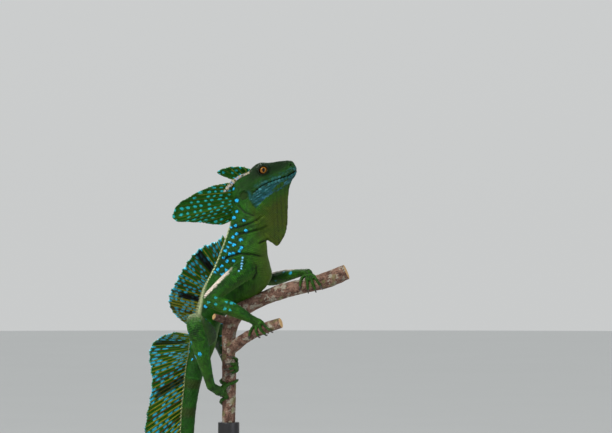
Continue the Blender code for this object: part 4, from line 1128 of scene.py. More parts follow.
def limb_paint(colour, limb, t, points):
    path = LIMBS[limb]
    away = unit(points - smooth(path, t)[:, :3])
    patch, lines = noise(points, 6.0, 71), np.abs(noise(points, 4.0, 73))
    low = np.clip(-away[:, 2], 0, 1)
    leg, right, left = limb.startswith("leg"), limb == "arm_right", points[:, 1] > 0
    chance = 0.22 * ramp(t, 0.8, 1.6) if leg else 0.35 * ramp(t, 3.6, 4.6)
    colour = layered(
        colour,
        (LIGHT_GREEN, 0.35 * ramp(patch, 0.0, 0.9)),
        (DEEP_GREEN, 0.65 * ramp(lines, 0.2, 0.04)),
        (BELLY, 0.35 * low),
        (SPOT, 0.75 * dots(points, 4.4, 1.25, chance, 75) * ramp(low, 0.7, 0.4)),
    )
    if leg:
        knee = bell(length(points - np.array(path[4][:3]) - np.array([0, 0, 6.0])), 6.0)
        specks = ramp(noise(points, 1.7, 76), -0.4, 0.3)
        return layered(colour, (PALE_LINE * 0.7, 0.8 * knee * (0.35 + 0.65 * specks)))
    if right:
        colour = layered(
            colour,
            (PALE_SPOT, spots_of(points, LATERAL_DOTS, DOT_RADIUS, left)),
            (TEAL_SPOT, 0.9 * spots_of(points, ARM_SPOTS, 0.95, left)),
        )
        upper, span = unit([-0.66, -0.45, 0.6]), ramp(t, 1.0, 2.0) * ramp(t, 4.8, 3.6)
    else:
        upper, span = unit([0.0, -0.45, 0.9]), ramp(t, 3.6, 4.6) * ramp(t, 7.6, 6.2)
    # A pale band along the top of each arm: partly the arm's own pale scales, partly a painted highlight on
    # its lit upper side
    share = away @ upper + 0.04 * noise(points, 2.5, 74) - 0.13 * (1 - span)
    stripe_and_highlight = ramp(share, 0.84, 0.94) if right else 0.8 * ramp(share, 0.72, 0.88)
    return layered(colour, (PALE_ARM_AND_HIGHLIGHT, stripe_and_highlight * ramp(span, 0.0, 0.3) * (0.85 + 0.15 * patch)))


def body_paint(parts, t, angle, points):
    """Colour at places on the body, from the part, its place number and its angle there."""
    patch, fine = noise(points, 12.0, 21), noise(points, 3.1, 22)
    colour = layered(DEEP_GREEN, (LEAF_GREEN, 0.62 + 0.3 * patch + 0.16 * fine))
    for part in np.unique(parts):
        at = parts == part
        if part == "head":
            colour[at] = head_paint(colour[at], points[at])
        elif part == "trunk":
            colour[at] = trunk_paint(colour[at], t[at], angle[at], points[at])
        elif part == "fan":
            colour[at] = fan_paint(colour[at], points[at])
        elif part in LIMBS:
            colour[at] = limb_paint(colour[at], part, t[at], points[at])
        else:
            colour[at] = layered(
                colour[at],
                (DARK_OLIVE, 0.35 + 0.2 * patch[at]),
                (LIGHT_GREEN, 0.25 * ramp(fine[at], 0, 0.8)),
            )
    return colour


# Scales: small closed plates in staggered rows, each with its root in the skin

SCALE_RIM = [(0.66, 0.0), (0.22, 0.5), (-0.34, 0.45), (-0.58, 0.0), (-0.34, -0.45), (0.22, -0.5)]
SCALE_RIM_HEIGHT = [0.3, -0.05, -0.25, -0.35, -0.25, -0.05]
SCALE_TOP_HEIGHT = [1.0, 0.62, 0.4, 0.36, 0.4, 0.62]
SCALE_TOP_SHARE = 0.66
SCALE_KEEL = (0.05, 0.0, 1.05)
SCALE_UNDERSIDE = [(0, 2, 1), (0, 3, 2), (0, 4, 3), (0, 5, 4)]


def scale_form():
    rim = np.insert(SCALE_RIM, 2, SCALE_RIM_HEIGHT, axis=1)
    top = np.insert(np.array(SCALE_RIM) * SCALE_TOP_SHARE, 2, SCALE_TOP_HEIGHT, axis=1)
    faces = []
    for i in range(6):
        k = (i + 1) % 6
        faces += [(i, k, 6 + k), (i, 6 + k, 6 + i), (6 + i, 6 + k, 12)]
    # Rim darker as painted shade where scales meet, keel lighter as a painted highlight
    shade = np.array([0.62] * 6 + [1.0] * 6 + [1.12])
    return np.concatenate([rim, top, [SCALE_KEEL]]), np.array(faces + SCALE_UNDERSIDE), shade


def flat_form():
    """A plain low scale, for the fins."""
    rim = [(x, y, -0.5) for x, y in SCALE_RIM]
    faces = [(i, (i + 1) % 6, 6) for i in range(6)] + SCALE_UNDERSIDE
    # Rim a little darker as painted shade, centre lighter as a painted highlight
    return np.array(rim + [(0.12, 0.0, 1.0)]), np.array(faces), np.array([0.86] * 6 + [1.08])


def plate_form():
    """A low plate with rounded corners, for the lips."""
    rim = np.array([(0.57, -0.2), (0.57, 0.2), (0.43, 0.36), (-0.43, 0.36)])
    rim = np.concatenate([rim, -rim])
    points, faces = loft([np.insert(rim, 2, -0.5, axis=1), np.insert(rim * 0.86, 2, 0.9, axis=1)])
    # Rim and its inner corners darker as painted shade at the joints between plates
    return points, faces, np.array([0.68] * 8 + [0.95] * 8 + [0.68, 0.95])


def scales(roots, normals, lies, sizes, colours, uv, long=1.3, tall=0.3, form_of=None):
    """Points, faces, colours and map places of many scales."""
    form, faces, shade = form_of or scale_form()
    lies = unit(lies - normals * np.sum(lies * normals, 1, keepdims=True))
    points = roots[:, None]
    for axis, way, factor in ((0, lies, long), (1, np.cross(normals, lies), 1.08), (2, normals, tall)):
        points = points + way[:, None] * (form[None, :, axis:axis + 1] * sizes[:, None, None] * factor)
    all_faces = faces[None] + (np.arange(len(roots)) * len(form))[:, None, None]
    # Each scale's colour times its painted shade and highlight
    paint = colours[:, None] * shade[None, :, None]
    patch = uv[:, None] + form[None, :, :2] * PATCH
    return points.reshape(-1, 3), all_faces.reshape(-1, 3), paint.reshape(-1, 3), patch.reshape(-1, 2)


def rows_at(roots, lies, *places):
    """Columns for the placing of scales: root, lie, size and place numbers."""
    places = [np.broadcast_to(values, len(roots)) for values in places]
    return np.concatenate([roots, np.broadcast_to(lies, roots.shape), np.stack(places, 1)], 1)


def scale_rows(item, first, last, count, pitch=1.0, sides=96):
    """Roots of staggered rows round a surface, with the lie, the size and the place of each."""
    angles = circle(sides)
    made = []
    t, row = first, 0
    while t < last:
        ring, ahead = item["rings_at"](np.array([t, t + 0.02]), angles)
        closed = np.concatenate([ring, ring[:1]])
        arc = np.concatenate([[0], np.cumsum(length(np.diff(closed, axis=0)))])
        share = (np.arange(count) + 0.5 * (row % 2)) / count
        at, size = share * arc[-1], arc[-1] / count
        turn = np.interp(at, arc, np.append(angles, angles[0] + 2 * math.pi))
        root = np.stack([np.interp(at, arc, closed[:, axis]) for axis in range(3)], 1)
        run = ahead.mean(0) - ring.mean(0)
        made.append(rows_at(root, unit(run), size, t, turn, share))
        t += max(size, 0.55) * pitch / max(np.linalg.norm(run) / 0.02, 0.5)
        row += 1
    return np.concatenate(made)


def surface(base, shape, faces, parts=None):
    """A skin before and after its folds, for the placing of scales, and the body part at each point."""
    tree = BVHTree.FromPolygons(base.tolist(), faces.tolist())
    return dict(tree=tree, base=base, shape=shape, faces=faces, parts=parts, normals=normals_of(shape, faces))


def on_surface(skin, roots, reach, part=None):
    """The place on a skin for each root, its normal there, and whether it is within reach.

    It is sought on the skin as it is before its folds, which keeps the scales even over them.
    With no reach given, it is sought straight in from the side of the body. With a part given,
    roots on another part's skin don't count."""
    found, near, index = roots.copy(), np.zeros(len(roots), bool), np.zeros(len(roots), int)
    for i, root in enumerate(roots.tolist()):
        if reach is None:
            side = math.copysign(1.0, root[1])
            start = Vector((root[0], side * SIDE_AWAY, root[2]))
            place, _, face, _ = skin["tree"].ray_cast(start, Vector((0, -side, 0)))
            near[i] = place is not None
        else:
            place, _, face, away = skin["tree"].find_nearest(Vector(root))
            near[i] = away < reach
        if place is not None:
            found[i], index[i] = place, face
    corners = skin["faces"][index]
    if part is not None and reach is not None:
        near &= skin["parts"][corners[:, 0]] == part
    a, b, c = (skin["base"][corners[:, i]] for i in range(3))
    whole = np.cross(b - a, c - a)
    size = np.maximum(np.sum(whole * whole, 1), 1e-12)
    second = np.sum(np.cross(found - a, c - a) * whole, 1) / size
    third = np.sum(np.cross(b - a, found - a) * whole, 1) / size
    share = np.clip(np.stack([1 - second - third, second, third], 1), 0, 1)[..., None]
    places = np.sum(skin["shape"][corners] * share, 1)
    return places, unit(np.sum(skin["normals"][corners] * share, 1)), near


def merged(forms):
    """Several lots of scales as one: points, faces, colours and map places."""
    points, faces = joined([form[:2] for form in forms])
    return points, faces, *(np.concatenate([form[i] for form in forms]) for i in (2, 3))


def coat_piece(name, seed, groups, material, skin, planted):
    """One piece of coat from several charts, each with its own rectangle of the map of places.

    The root, lie and size of each scale are added to planted."""
    random = np.random.default_rng(seed)
    columns = math.ceil(math.sqrt(len(groups)))
    forms = []
    for i, (part, rows, reach, keep, long, tall, *form) in enumerate(groups):
        places, normals, near = on_surface(skin, rows[:, 0:3], reach, part)
        if keep is not None:
            near &= keep(places)
        rows, places, normals = rows[near], places[near], normals[near]
        size = rows[:, 6] * random.uniform(0.92, 1.06, len(rows))
        t, turn, share = rows[:, 7:10].T
        colour = body_paint(np.full(len(rows), part), t, turn, places)
        colour = colour * random.uniform(0.86, 1.14, (len(rows), 1))
        span = max(t.max() - t.min(), 1e-6)
        spot = np.stack([(t - t.min()) / span, share % 1.0], 1) * 0.96 + 0.02
        spot = (spot + np.array([i % columns, i // columns])) / columns
        roots = places - normals * ROOT_DEPTH
        forms.append(scales(roots, normals, rows[:, 3:6], size, colour, spot, long, tall, *form))
        planted.append(np.concatenate([places, rows[:, 3:7]], 1))
    form = merged(forms)
    return piece(name, *form[:2], material, "skin", *form[2:])


def off_ear(points):
    """Where scales may grow beside the ear and the row of small dots."""
    away = length(points[:, None, [0, 2]] - np.array(LATERAL_DOTS)[None]).min(1)
    return (ear_away(*head_axes(points)) > EAR_RADIUS - 0.4) & ((away > 1.15) | (points[:, 1] > 0))


def plain_face(points):
    """Where the head carries small scales: not on the eye, the ear, the nostril or the lips."""
    forward, up = head_axes(points)
    lips = (np.abs(up - mouth_height(forward)) < LABIAL_HEIGHT + 0.25) & (forward > 7.5) & (forward < 45)
    eye = (eye_ring(forward, up) < 1.5) & (np.abs(points[:, 1]) > 4)
    ear = ear_away(forward, up) < EAR_RADIUS - 0.4
    return ~(lips | eye | ear | (nostril_away(forward, up) < 1.0))


def labial_rows():
    """Plates along both lips, in the same columns as scale rows."""
    made = []
    for side, lip in itertools.product((-1.0, 1.0), repeat=2):
        forward = np.arange(9.0, 45.0, LABIAL_LENGTH) + 0.6 * lip
        up = mouth_height(forward) + lip * (LABIAL_HEIGHT * 0.5 + 0.35)
        root, lie = head_point(forward, up, side * 9.0), head_point(-1.0, 0.0) - head_point(0.0, 0.0)
        share = 0.25 + 0.25 * lip * 0.5 + 0.25 * (side + 1)
        made.append(rows_at(root, lie, LABIAL_LENGTH * 0.95, forward, share, share))
    return np.concatenate(made)


def ridge_rows():
    """Larger pale scales down the ridge at the back of the head."""
    made = []
    line = np.array(HEAD_RIDGE)
    for side, (row, off) in itertools.product((-1.0, 1.0), enumerate((-0.75, 0.0, 0.75))):
        t = np.linspace(0.02 * row, len(line) - 1.02, 12)
        ahead = unit(smooth(line, t + 0.05) - smooth(line, t - 0.05))
        place = smooth(line, t) + off * np.stack([-ahead[:, 1], ahead[:, 0]], 1)
        root, lie = np.insert(place, 1, side * 6.0, axis=1), np.insert(ahead, 1, 0.0, axis=1)
        share = t / len(line) / 3 + row / 3
        made.append(rows_at(root, lie, 1.15, t, share, share * 0.5 + 0.25 * (side + 1)))
    return np.concatenate(made)


def dot_rows():
    """Single larger scales for the row of small dots above the shoulder."""
    count = len(LATERAL_DOTS)
    return np.array([[x, -20, z, 0.2, 0.0, -1.0, 1.6 - 0.06 * i, 5.5, i, i / count]
                     for i, (x, z) in enumerate(LATERAL_DOTS)])


def lid_rows():
    """Two rings of small scales round each eye's opening."""
    made = []
    for side, (ring, count) in itertools.product((-1.0, 1.0), ((1.16, 22), (1.42, 24))):
        angle = np.linspace(0, 2 * math.pi, count, endpoint=False) + ring * 3
        forward = EYE_FORWARD + ring * LID_OPENING[0] * np.cos(angle)
        up = EYE_UP + ring * LID_OPENING[1] * np.sin(angle)
        root = head_point(forward, up, side * (EYE_OUT + lid_ball(forward, up, 4)))
        lie = head_point(-np.sin(angle), np.cos(angle)) - head_point(0.0, 0.0)
        made.append(rows_at(root, lie, 0.85, angle, angle, angle / 7 + 0.02 * ring))
    return np.concatenate(made)


def gap_rows(skin, places, planted):
    """Scales for the spots that the even rows leave bare, in joints and on the outside of bends."""
    planted = np.concatenate(planted)
    tree, shape = nearest_of(planted[:, 0:3]), skin["shape"]
    steps = list(itertools.product((-1, 0, 1), repeat=3))
    taken, made = {}, []
    for i in np.flatnonzero(plain_face(shape) & off_ear(shape)).tolist():
        point = shape[i]
        _, nearest, away = tree.find(point)
        size = min(max(planted[nearest, 6], 0.5), 1.25)
        if away < 0.86 * size:
            continue
        x, y, z = (math.floor(value / GAP_CELL) for value in point.tolist())
        around = [other for a, b, c in steps for other in taken.get((x + a, y + b, z + c), ())]
        if all(np.sum((other - point) ** 2) > (0.84 * size) ** 2 for other in around):
            taken.setdefault((x, y, z), []).append(point)
            made.append([*point, *planted[nearest, 3:6], size * 1.08, *places[i], i])
    return np.array(made)


def gap_piece(skin, places, planted, charts, material):
    rows = gap_rows(skin, places, planted)
    index, t, turn, root = rows[:, 7].astype(int), rows[:, 8], rows[:, 9], rows[:, 0:3]
    first, last = (np.array([item["t"][end] for item in charts])[index] for end in (0, -1))
    colour = body_paint(parts_of(charts, rows[:, 7:]), t, turn, root)
    columns = math.ceil(math.sqrt(len(charts)))
    spot = np.stack([(t - first) / (last - first), (turn + math.pi / 2) / (2 * math.pi)], 1)
    spot = (spot * 0.94 + 0.03 + np.stack([index % columns, index // columns], 1)) / columns
    normals = skin["normals"][rows[:, 10].astype(int)]
    form = scales(root, normals, rows[:, 3:6], rows[:, 6], colour, spot, 1.15, 0.26)
    return piece("scales_joints", *form[:2], material, "skin", *form[2:])


def make_coat(charts, skin, places, material):
    """All pieces of coat. A group has its part, rows, reach, where it may grow, length and height."""
    head, trunk, fan = charts[0:3]
    planted, made = [], []

    def add(name, seed, *groups):
        made.append(coat_piece("scales_" + name, seed, groups, material, skin, planted))

    def on_trunk(first, last, count, long, tall, pitch=1.0, reach=2.2, keep=off_ear):
        return "trunk", scale_rows(trunk, first, last, count, pitch), reach, keep, long, tall

    lengths = [(0.3, 3.0, 38, 1.8), (3.0, 6.5, 54, 2.2), (6.5, 11.0, 76, 2.2)]
    add("head", 1,
        *[("head", scale_rows(head, a, b, n), reach, plain_face, 1.15, 0.3) for a, b, n, reach in lengths],
        ("head", labial_rows(), None, None, 1.0, 0.06, plate_form()),
        ("head", ridge_rows(), None, None, 1.1, 0.5),
        ("head", lid_rows(), None, None, 1.2, 0.3))
    add("throat_fan", 2, ("fan", scale_rows(fan, 0.2, 8.8, 66), 1.6, None, 1.15, 0.26))
    add("neck", 3, on_trunk(0.0, 4.6, 92, 1.25, 0.26))
    add("torso", 4, on_trunk(4.6, 13.6, 96, 1.25, 0.26), ("trunk", dot_rows(), None, None, 1.1, 0.3))
    add("tail_root", 5, on_trunk(13.6, 16.5, 52, 1.35, 0.3))
    lengths = [(16.5, 19.5, 30), (19.5, 23.5, 24), (23.5, 26.0, 18), (26.0, 28.5, 12), (28.5, 30.8, 8)]
    add("tail", 8, *[on_trunk(a, b, n, 1.5, 0.36, 1.15, 1.0, None) for a, b, n in lengths])
    for i, (limb, path) in enumerate(LIMBS.items()):
        of_limb = next(item for item in charts if item["part"] == limb)
        groups = [(limb, scale_rows(of_limb, 0.6, len(path) - 1.0, 34), 2.0, off_ear, 1.3, 0.28)]
        hand = next(name for name, spec in HANDS.items() if spec["wrist"] == limb)
        for item in charts:
            if item["part"] == hand:
                first, last = item["t"][0], item["t"][-1]
                rows = scale_rows(item, first, last - 0.1, 22 if first > 0.1 else 9)
                groups.append((hand, rows, 0.6, None, 1.25, 0.24))
        add(limb, 10 + i, *groups)
    return made + [gap_piece(skin, places, planted, charts, material)]


# Sails and crests


def fin_columns(kind, place):
    """Root, edge and sideways direction of a fin at shares of its length."""
    pairs = FIN_PAIRS[kind]
    t = place * (len(pairs) - 1)
    if kind.startswith("crest"):
        return *fin_line(pairs, t), np.tile([0.0, 1.0, 0.0], (len(t), 1))
    line = smooth(pairs, t)
    back, middle, side = back_line(line[:, 0])
    root = back + (middle - back) * 0.22
    edge = np.stack([line[:, 1], back[:, 1], line[:, 2]], 1)
    return root, edge, np.where(side[:, 1:2] > 0, side, -side)


def fin_points(kind, place, share, face):
    """Points on a fin. Place runs along it, share from root to edge, and face is 1, 0 or -1."""
    spec = FINS[kind]
    root, edge, side = fin_columns(kind, place)
    ray = place * spec["rays"]
    ridge = bell(np.abs(ray - np.round(ray)), 0.17)
    big = 0.5 + 0.5 * np.cos(2 * math.pi * place * spec["scallops"])
    tooth = (big - 0.5) * spec["scallop"] * 0.75 + (ridge - 0.35) * 0.2
    tooth = tooth * ramp(place, 0.0, 0.04) * ramp(place, 1.0, 0.96)
    edge = edge + unit(edge - root) * tooth[:, None]
    half = spec["web"] + (mix(spec["root"], spec["edge"], share) - spec["web"]) * ridge[:, None]
    half = half * np.sqrt(np.clip((1.015 - share) / 0.05, 0, 1))
    bulge = spec["wave"] * np.sin(place * spec["waves"])[:, None] * share ** 1.5
    ripple = 0.16 * np.sin(2 * math.pi * ray)[:, None] * share
    out = bulge + ripple + face * half
    return root[:, None] + (edge - root)[:, None] * share[..., None] + side[:, None] * out[..., None]


def fin_paint(kind, place, share, along, points):
    """Colour of a fin: rays, rows of dashes between them, dark bars and a pale beaded edge."""
    spec = FINS[kind]
    ray = place * spec["rays"]
    low = ramp(place, 0.45, 0.65) * (kind == "back_sail")
    brown = hashed(np.round(ray), 3.0, 82) < spec["rust"] - 0.4 * low
    wide = 0.17 + 0.15 * low
    line = ramp(np.abs(ray - np.round(ray)), wide, wide - 0.1) * ramp(share, 1.0, 0.9)
    blue = dashes(ray, along, *spec["dash"], 84)
    bars = []
    for first, last, start, end in spec["bars"]:
        bar = ramp(place, first - 0.006, first + 0.004) * ramp(place, last + 0.006, last - 0.004)
        bar = bar * ramp(share, start - 0.06, start + 0.02) * ramp(share, end + 0.06, end - 0.02)
        bars.append((BLACK, bar * (1.0 if kind == "back_sail" else 0.8)))
        blue = blue * (1 - 0.9 * bar)
    above, to_edge = along - spec["sunk"], along * (1 / np.maximum(share, 0.01) - 1)
    return layered(
        SAIL_GREEN,
        (LEAF_GREEN, 0.4 + 0.4 * noise(points, 9.0, 81)),
        (DEEP_GREEN, 0.5 * low),
        (np.where(brown[:, None], RUST, RAY_OLIVE), spec["ray_paint"] * line),
        *bars,
        (SAIL_SPOT if kind.endswith("sail") else CREST_SPOT, blue * ramp(above, 1.0, 2.5)),
        (PALE_LINE, spec["pale_root"] * ramp(above, 1.9, 1.1)),
        (EDGE_BLUE, spec["pale_edge"] * beat(place * spec["rays"] * 2, 0.1) * ramp(to_edge, 1.3, 0.6)),
    )


def fin_rows(kind):
    """Flat scales in columns down both faces of a fin, with place, share, depth and face of each."""
    spec = FINS[kind]
    count, step = spec["rays"] * spec["across"], spec["pitch"]
    made = []
    for face, column in itertools.product((1.0, -1.0), [0.45, *range(1, count), count - 0.45]):
        at = column / count
        (start, next_start), (end, next_end), _ = fin_columns(kind, np.array([at, min(at + 0.01, 1.0)]))
        reach = np.linalg.norm(end - start)
        down = (np.arange(int((reach - 0.5) / step)) + 0.5 * (round(column) % 2) + 0.3) * step / reach
        down = down[(down > spec["bare"]) & ((1 - down) * reach > 0.45)]
        if len(down):
            root = fin_points(kind, np.full(len(down), at), down[:, None], face)[:, 0]
            narrow, wide = np.linalg.norm(next_start - start) / 0.01, np.linalg.norm(next_end - end) / 0.01
            size = np.clip(mix(narrow, wide, down) / count, 0.4, 1.3)
            made.append(rows_at(root, unit(end - start), size, at, down, down * reach, face))
    return np.concatenate(made)


def crest_ridge_scales(ridge):
    """The pointed pale scales of the ridge at the rear crest's root, pale partly in their own colour and
    partly as a painted highlight.
    """
    points, faces = ridge
    item = dict(rings_at=lambda t, angles: tube_rings(CREST_RIDGE_PATH, t, angles))
    rows = scale_rows(item, 0.05, len(CREST_RIDGE_PATH) - 1.1, 11, 1.1, 24)
    places, normals, _ = on_surface(surface(points, points, faces), rows[:, 0:3], 3.0)
    t, share = rows[:, 7], rows[:, 9]
    dark = hashed(np.round(t * 9), np.round(share * 9), 91) < 0.25
    blue = hashed(np.round(t * 7), np.round(share * 7), 92) < 0.3
    colour = np.where(dark[:, None], OLIVE, np.where(blue[:, None], RIDGE_BLUE, PALE_RIDGE_AND_HIGHLIGHT))
    spot = np.stack([0.485 + 0.012 * share, 0.1 + 0.18 * t], 1)
    return scales(places, normals, rows[:, 3:6], rows[:, 6], colour, spot, 1.5, 0.6)


def make_fin(kind, material, coat_material):
    """A fin's membrane and rays, and the flat scales that cover it."""
    spec = FINS[kind]
    columns, sides = spec["rays"] * spec["detail"] + 1, spec["rows"] * 2
    place = np.linspace(0, 1, columns)
    share, face = (np.broadcast_to(values, (columns, sides)) for values in fold_round(sides))
    web = loft(fin_points(kind, place, share, face))
    root, edge, _ = fin_columns(kind, place)
    flat = [np.broadcast_to(place[:, None], share.shape), share, share * length(edge - root)[:, None]]
    flat = [np.append(values.ravel(), (values[0].mean(), values[-1].mean())) for values in flat]
    colours = fin_paint(kind, *flat, web[0])
    skin = surface(web[0], *web)
    rows = fin_rows(kind)
    places, normals, near = on_surface(skin, rows[:, 0:3], 0.8)
    rows, places, normals = rows[near], places[near], normals[near]
    at, down, depth, face = rows[:, 7:].T
    tint = np.random.default_rng(90).uniform(0.9, 1.1, (len(rows), 1))
    colour = fin_paint(kind, at, down, depth, places) * tint
    spot = np.stack([at * 0.47 + 0.01 + 0.5 * (face > 0), down * 0.96 + 0.02], 1)
    long = spec["pitch"] * 1.2 / rows[:, 6].mean()
    form = scales(places, normals, rows[:, 3:6], rows[:, 6], colour, spot, long, 0.16, flat_form())
    if kind == "crest_rear":
        ridge = tube(CREST_RIDGE_PATH, 60, 24)
        # The ridge tube under its scales takes a darker copy of the ridge colour: painted shade in the gaps
        # between the scales
        colours = np.concatenate([colours, np.tile(PALE_RIDGE_AND_HIGHLIGHT * 0.7, (len(ridge[0]), 1))])
        web, form = joined([web, ridge]), merged([form, crest_ridge_scales(ridge)])
    web = piece(kind + "_web", *web, material, "fin", colours)
    return web, piece("scales_" + kind, *form[:2], coat_material, "fin", *form[2:])


# Eyes and claws


def make_eye(name, side, material):
    """An eyeball with a domed cornea, an amber iris and a dark pupil, looking out to its side."""
    centre = head_point(EYE_FORWARD, EYE_UP, side * EYE_OUT)
    axis = unit([0.10, side, 0.05])
    along = unit(np.cross(axis, [0, 0, 1.0]))
    up = np.cross(along, axis)
    polar = np.concatenate([[0.01], np.linspace(0.03, 0.95, 44), np.linspace(1.0, math.pi - 0.02, 20)])
    polar, angle = polar[:, None, None], np.linspace(0, 2 * math.pi, 72, endpoint=False)[:, None]
    radius = EYE_RADIUS - 0.12 + 0.3 * bell(polar, 0.6)
    ring = along * np.cos(angle) + up * np.sin(angle)
    points, faces = loft(axis * (np.cos(polar) * radius) + ring * (np.sin(polar) * radius) + centre)
    away = points - centre
    off = np.arccos(np.clip(unit(away) @ axis, -1, 1)) * EYE_RADIUS
    turn = np.arctan2(away @ up, away @ along)
    tall = off * (1 + 0.5 * np.cos(turn) ** 2)
    fibres = 0.5 + 0.5 * np.sin(turn * 31 + 2 * np.sin(turn * 7)) * np.sin(turn * 17 + 1.3)
    colour = layered(
        srgb("#8a5a0c"),
        (srgb("#553206"), fibres),
        (srgb("#b98431"), 0.45 * ramp(np.abs(tall - PUPIL_RADIUS - 0.22), 0.22, 0.05)),
        (srgb("#5a2606"), ramp(off, IRIS_RADIUS - 0.6, IRIS_RADIUS - 0.1)),
        (srgb("#070504"), ramp(tall, PUPIL_RADIUS + 0.08, PUPIL_RADIUS - 0.08)),
        (srgb("#0a0806"), ramp(off, IRIS_RADIUS - 0.05, IRIS_RADIUS + 0.12)),
    )
    return piece(name, points, faces, material, "eye", colour)


def make_claws(material):
    digits = [(spec["branch"], digit) for spec in HANDS.values() for digit in spec["digits"]]
    points, faces = joined([tube(claw_path(branch, digit), 18, 12, 0.3) for branch, digit in digits])
    return piece("claws", points, faces, material, "skin", np.tile(CLAW, (len(points), 1)))


# Perch and stand


def make_perch(material):
    """The cut branch, with furrows, scars and lichen on its bark and plain cut ends."""
    paths = [PERCH_PATH, SIDE_LIMB_PATH, STUB_PATH]
    points, faces = remeshed([tube(path, 26 * len(path), 60) for path in paths], BARK_VOXEL)
    points = relax(points, edges_of(faces), 8)
    lines = [smooth(path, np.linspace(0, len(path) - 1, 30 * len(path)))[:, :3] for path in paths]
    tangents = np.concatenate([unit(np.gradient(line, axis=0)) for line in lines])
    shares = np.concatenate([np.linspace(0, 1, len(line)) for line in lines])
    centres = np.concatenate(lines)
    tree = nearest_of(centres)
    near = [tree.find(point)[1] for point in points.tolist()]
    tangent = tangents[near]
    lengthwise = np.sum(points * tangent, 1, keepdims=True) * tangent
    grain = points - 0.88 * lengthwise
    normals = normals_of(points, faces)
    furrow = ramp(np.abs(noise(grain, 1.9, 101)), 0.3, 0.04)
    crack = ramp(np.abs(noise(points - 0.3 * lengthwise, 5.2, 102)), 0.14, 0.02)
    flake, knob = noise(points, 7.0, 103), dots(points, 7.0, 1.3, 0.7, 104)
    ends = np.abs(np.sum(normals * tangent, 1))
    shift = -0.32 * furrow - 0.26 * crack + 0.12 * flake + 0.16 * knob + 0.06 * noise(points, 1.2, 105)
    stem = points[:, 2] < STEM_BOTTOM + CUP_DEPTH + 1.5
    shift = np.where(stem, -0.12, shift * ramp(ends, 0.8, 0.5))
    points = points + normals * shift[:, None]
    lichen = ramp(noise(points, 8.5, 107) + 0.5 * noise(points, 2.2, 108), 0.62, 0.74)
    wood_rings = 0.5 + 0.5 * np.sin(length(points - centres[near]) * 2 * math.pi / 0.9)
    colour = layered(
        srgb("#4e372f"),
        (srgb("#836759"), 0.5 + 0.4 * flake + 0.2 * noise(grain, 1.6, 106)),
        (srgb("#241712"), 0.85 * furrow + 0.5 * crack),
        (srgb("#949183"), 0.75 * lichen * (1 - 0.7 * furrow)),
        (srgb("#5f6a3a"), 0.4 * ramp(noise(points, 11.0, 109), 0.55, 0.9)),
        (layered(srgb("#c9a878"), (srgb("#a98254"), wood_rings)),
         ramp(ends, 0.75, 0.95) * ramp(shares[near], 0.975, 0.995)),
    )
    return piece("perch_bark", points, faces, material, "bark", colour)


def plate_ring(inset, height, sides=160, power=0.35):
    """The stand's outline with rounded corners, this much smaller all told."""
    angle = np.linspace(0, 2 * math.pi, sides, endpoint=False)
    cosine, sine = np.cos(angle), np.sin(angle)
    x = np.sign(cosine) * np.abs(cosine) ** power * (BASE_WIDTH - inset) / 2
    y = np.sign(sine) * np.abs(sine) ** power * (BASE_DEPTH - inset) / 2
    return np.stack([x + SHIFT_X, y + SHIFT_Y, np.full(sides, height)], 1)


def lathe(profile, sides=72):
    """A round body about the stem's axis, from points of radius and height."""
    angle = np.linspace(0, 2 * math.pi, sides, endpoint=False)
    return loft([np.stack([STEM_X + r * np.cos(angle), STEM_Y + r * np.sin(angle), np.full(sides, z)], 1)
                 for r, z in profile])


def rounded(corners, radius, steps=5):
    """A profile of radius, height points with each inner corner rounded."""
    corners = np.array(corners, float)
    made = [corners[0]]
    for before, at, after in zip(corners, corners[1:], corners[2:]):
        reach = min(radius, np.linalg.norm(before - at) * 0.45, np.linalg.norm(after - at) * 0.45)
        start, end = at + unit(before - at) * reach, at + unit(after - at) * reach
        for share in np.linspace(0, 1, steps):
            made.append((1 - share) ** 2 * start + 2 * share * (1 - share) * at + share ** 2 * end)
    return made + [corners[-1]]


def make_stand(base_material, rod_material):
    rings = [plate_ring(0.8, 0.0), plate_ring(0.0, 0.5)]
    for turn in np.linspace(0, math.pi / 2, 7):
        inset, drop = 2 * BASE_CHAMFER * (1 - math.cos(turn)), BASE_CHAMFER * (1 - math.sin(turn))
        rings.append(plate_ring(inset, BASE_THICK - drop))
    base = piece("stand_plate", *loft(rings), base_material, "stand")
    top = BASE_THICK + BOSS_HEIGHT
    seat = top - ROD_FOOT_DEPTH + GAP
    collar = [(0.5, BASE_THICK - 1), (BOSS_RADIUS, BASE_THICK - 1), (BOSS_RADIUS, top)]
    collar += [(ROD_RADIUS + 0.35, top), (ROD_RADIUS + 0.3, BASE_THICK - 0.5)]
    boss = piece("stand_collar", *lathe(rounded(collar, 0.9)), base_material, "stand")
    floor, inside = STEM_BOTTOM - GAP, STEM_RADIUS + GAP
    rod = [(0.1, seat), (ROD_RADIUS, seat), (ROD_RADIUS, floor - 8), (CUP_RADIUS - 1.2, floor - 2.5)]
    rod += [(CUP_RADIUS, floor - 1), (CUP_RADIUS, floor + CUP_DEPTH), (inside, floor + CUP_DEPTH)]
    rod += [(inside, floor), (0.1, floor)]
    return base, boss, piece("stand_rod_cup", *lathe(rounded(rod, 0.7)), rod_material, "stand")


# Materials


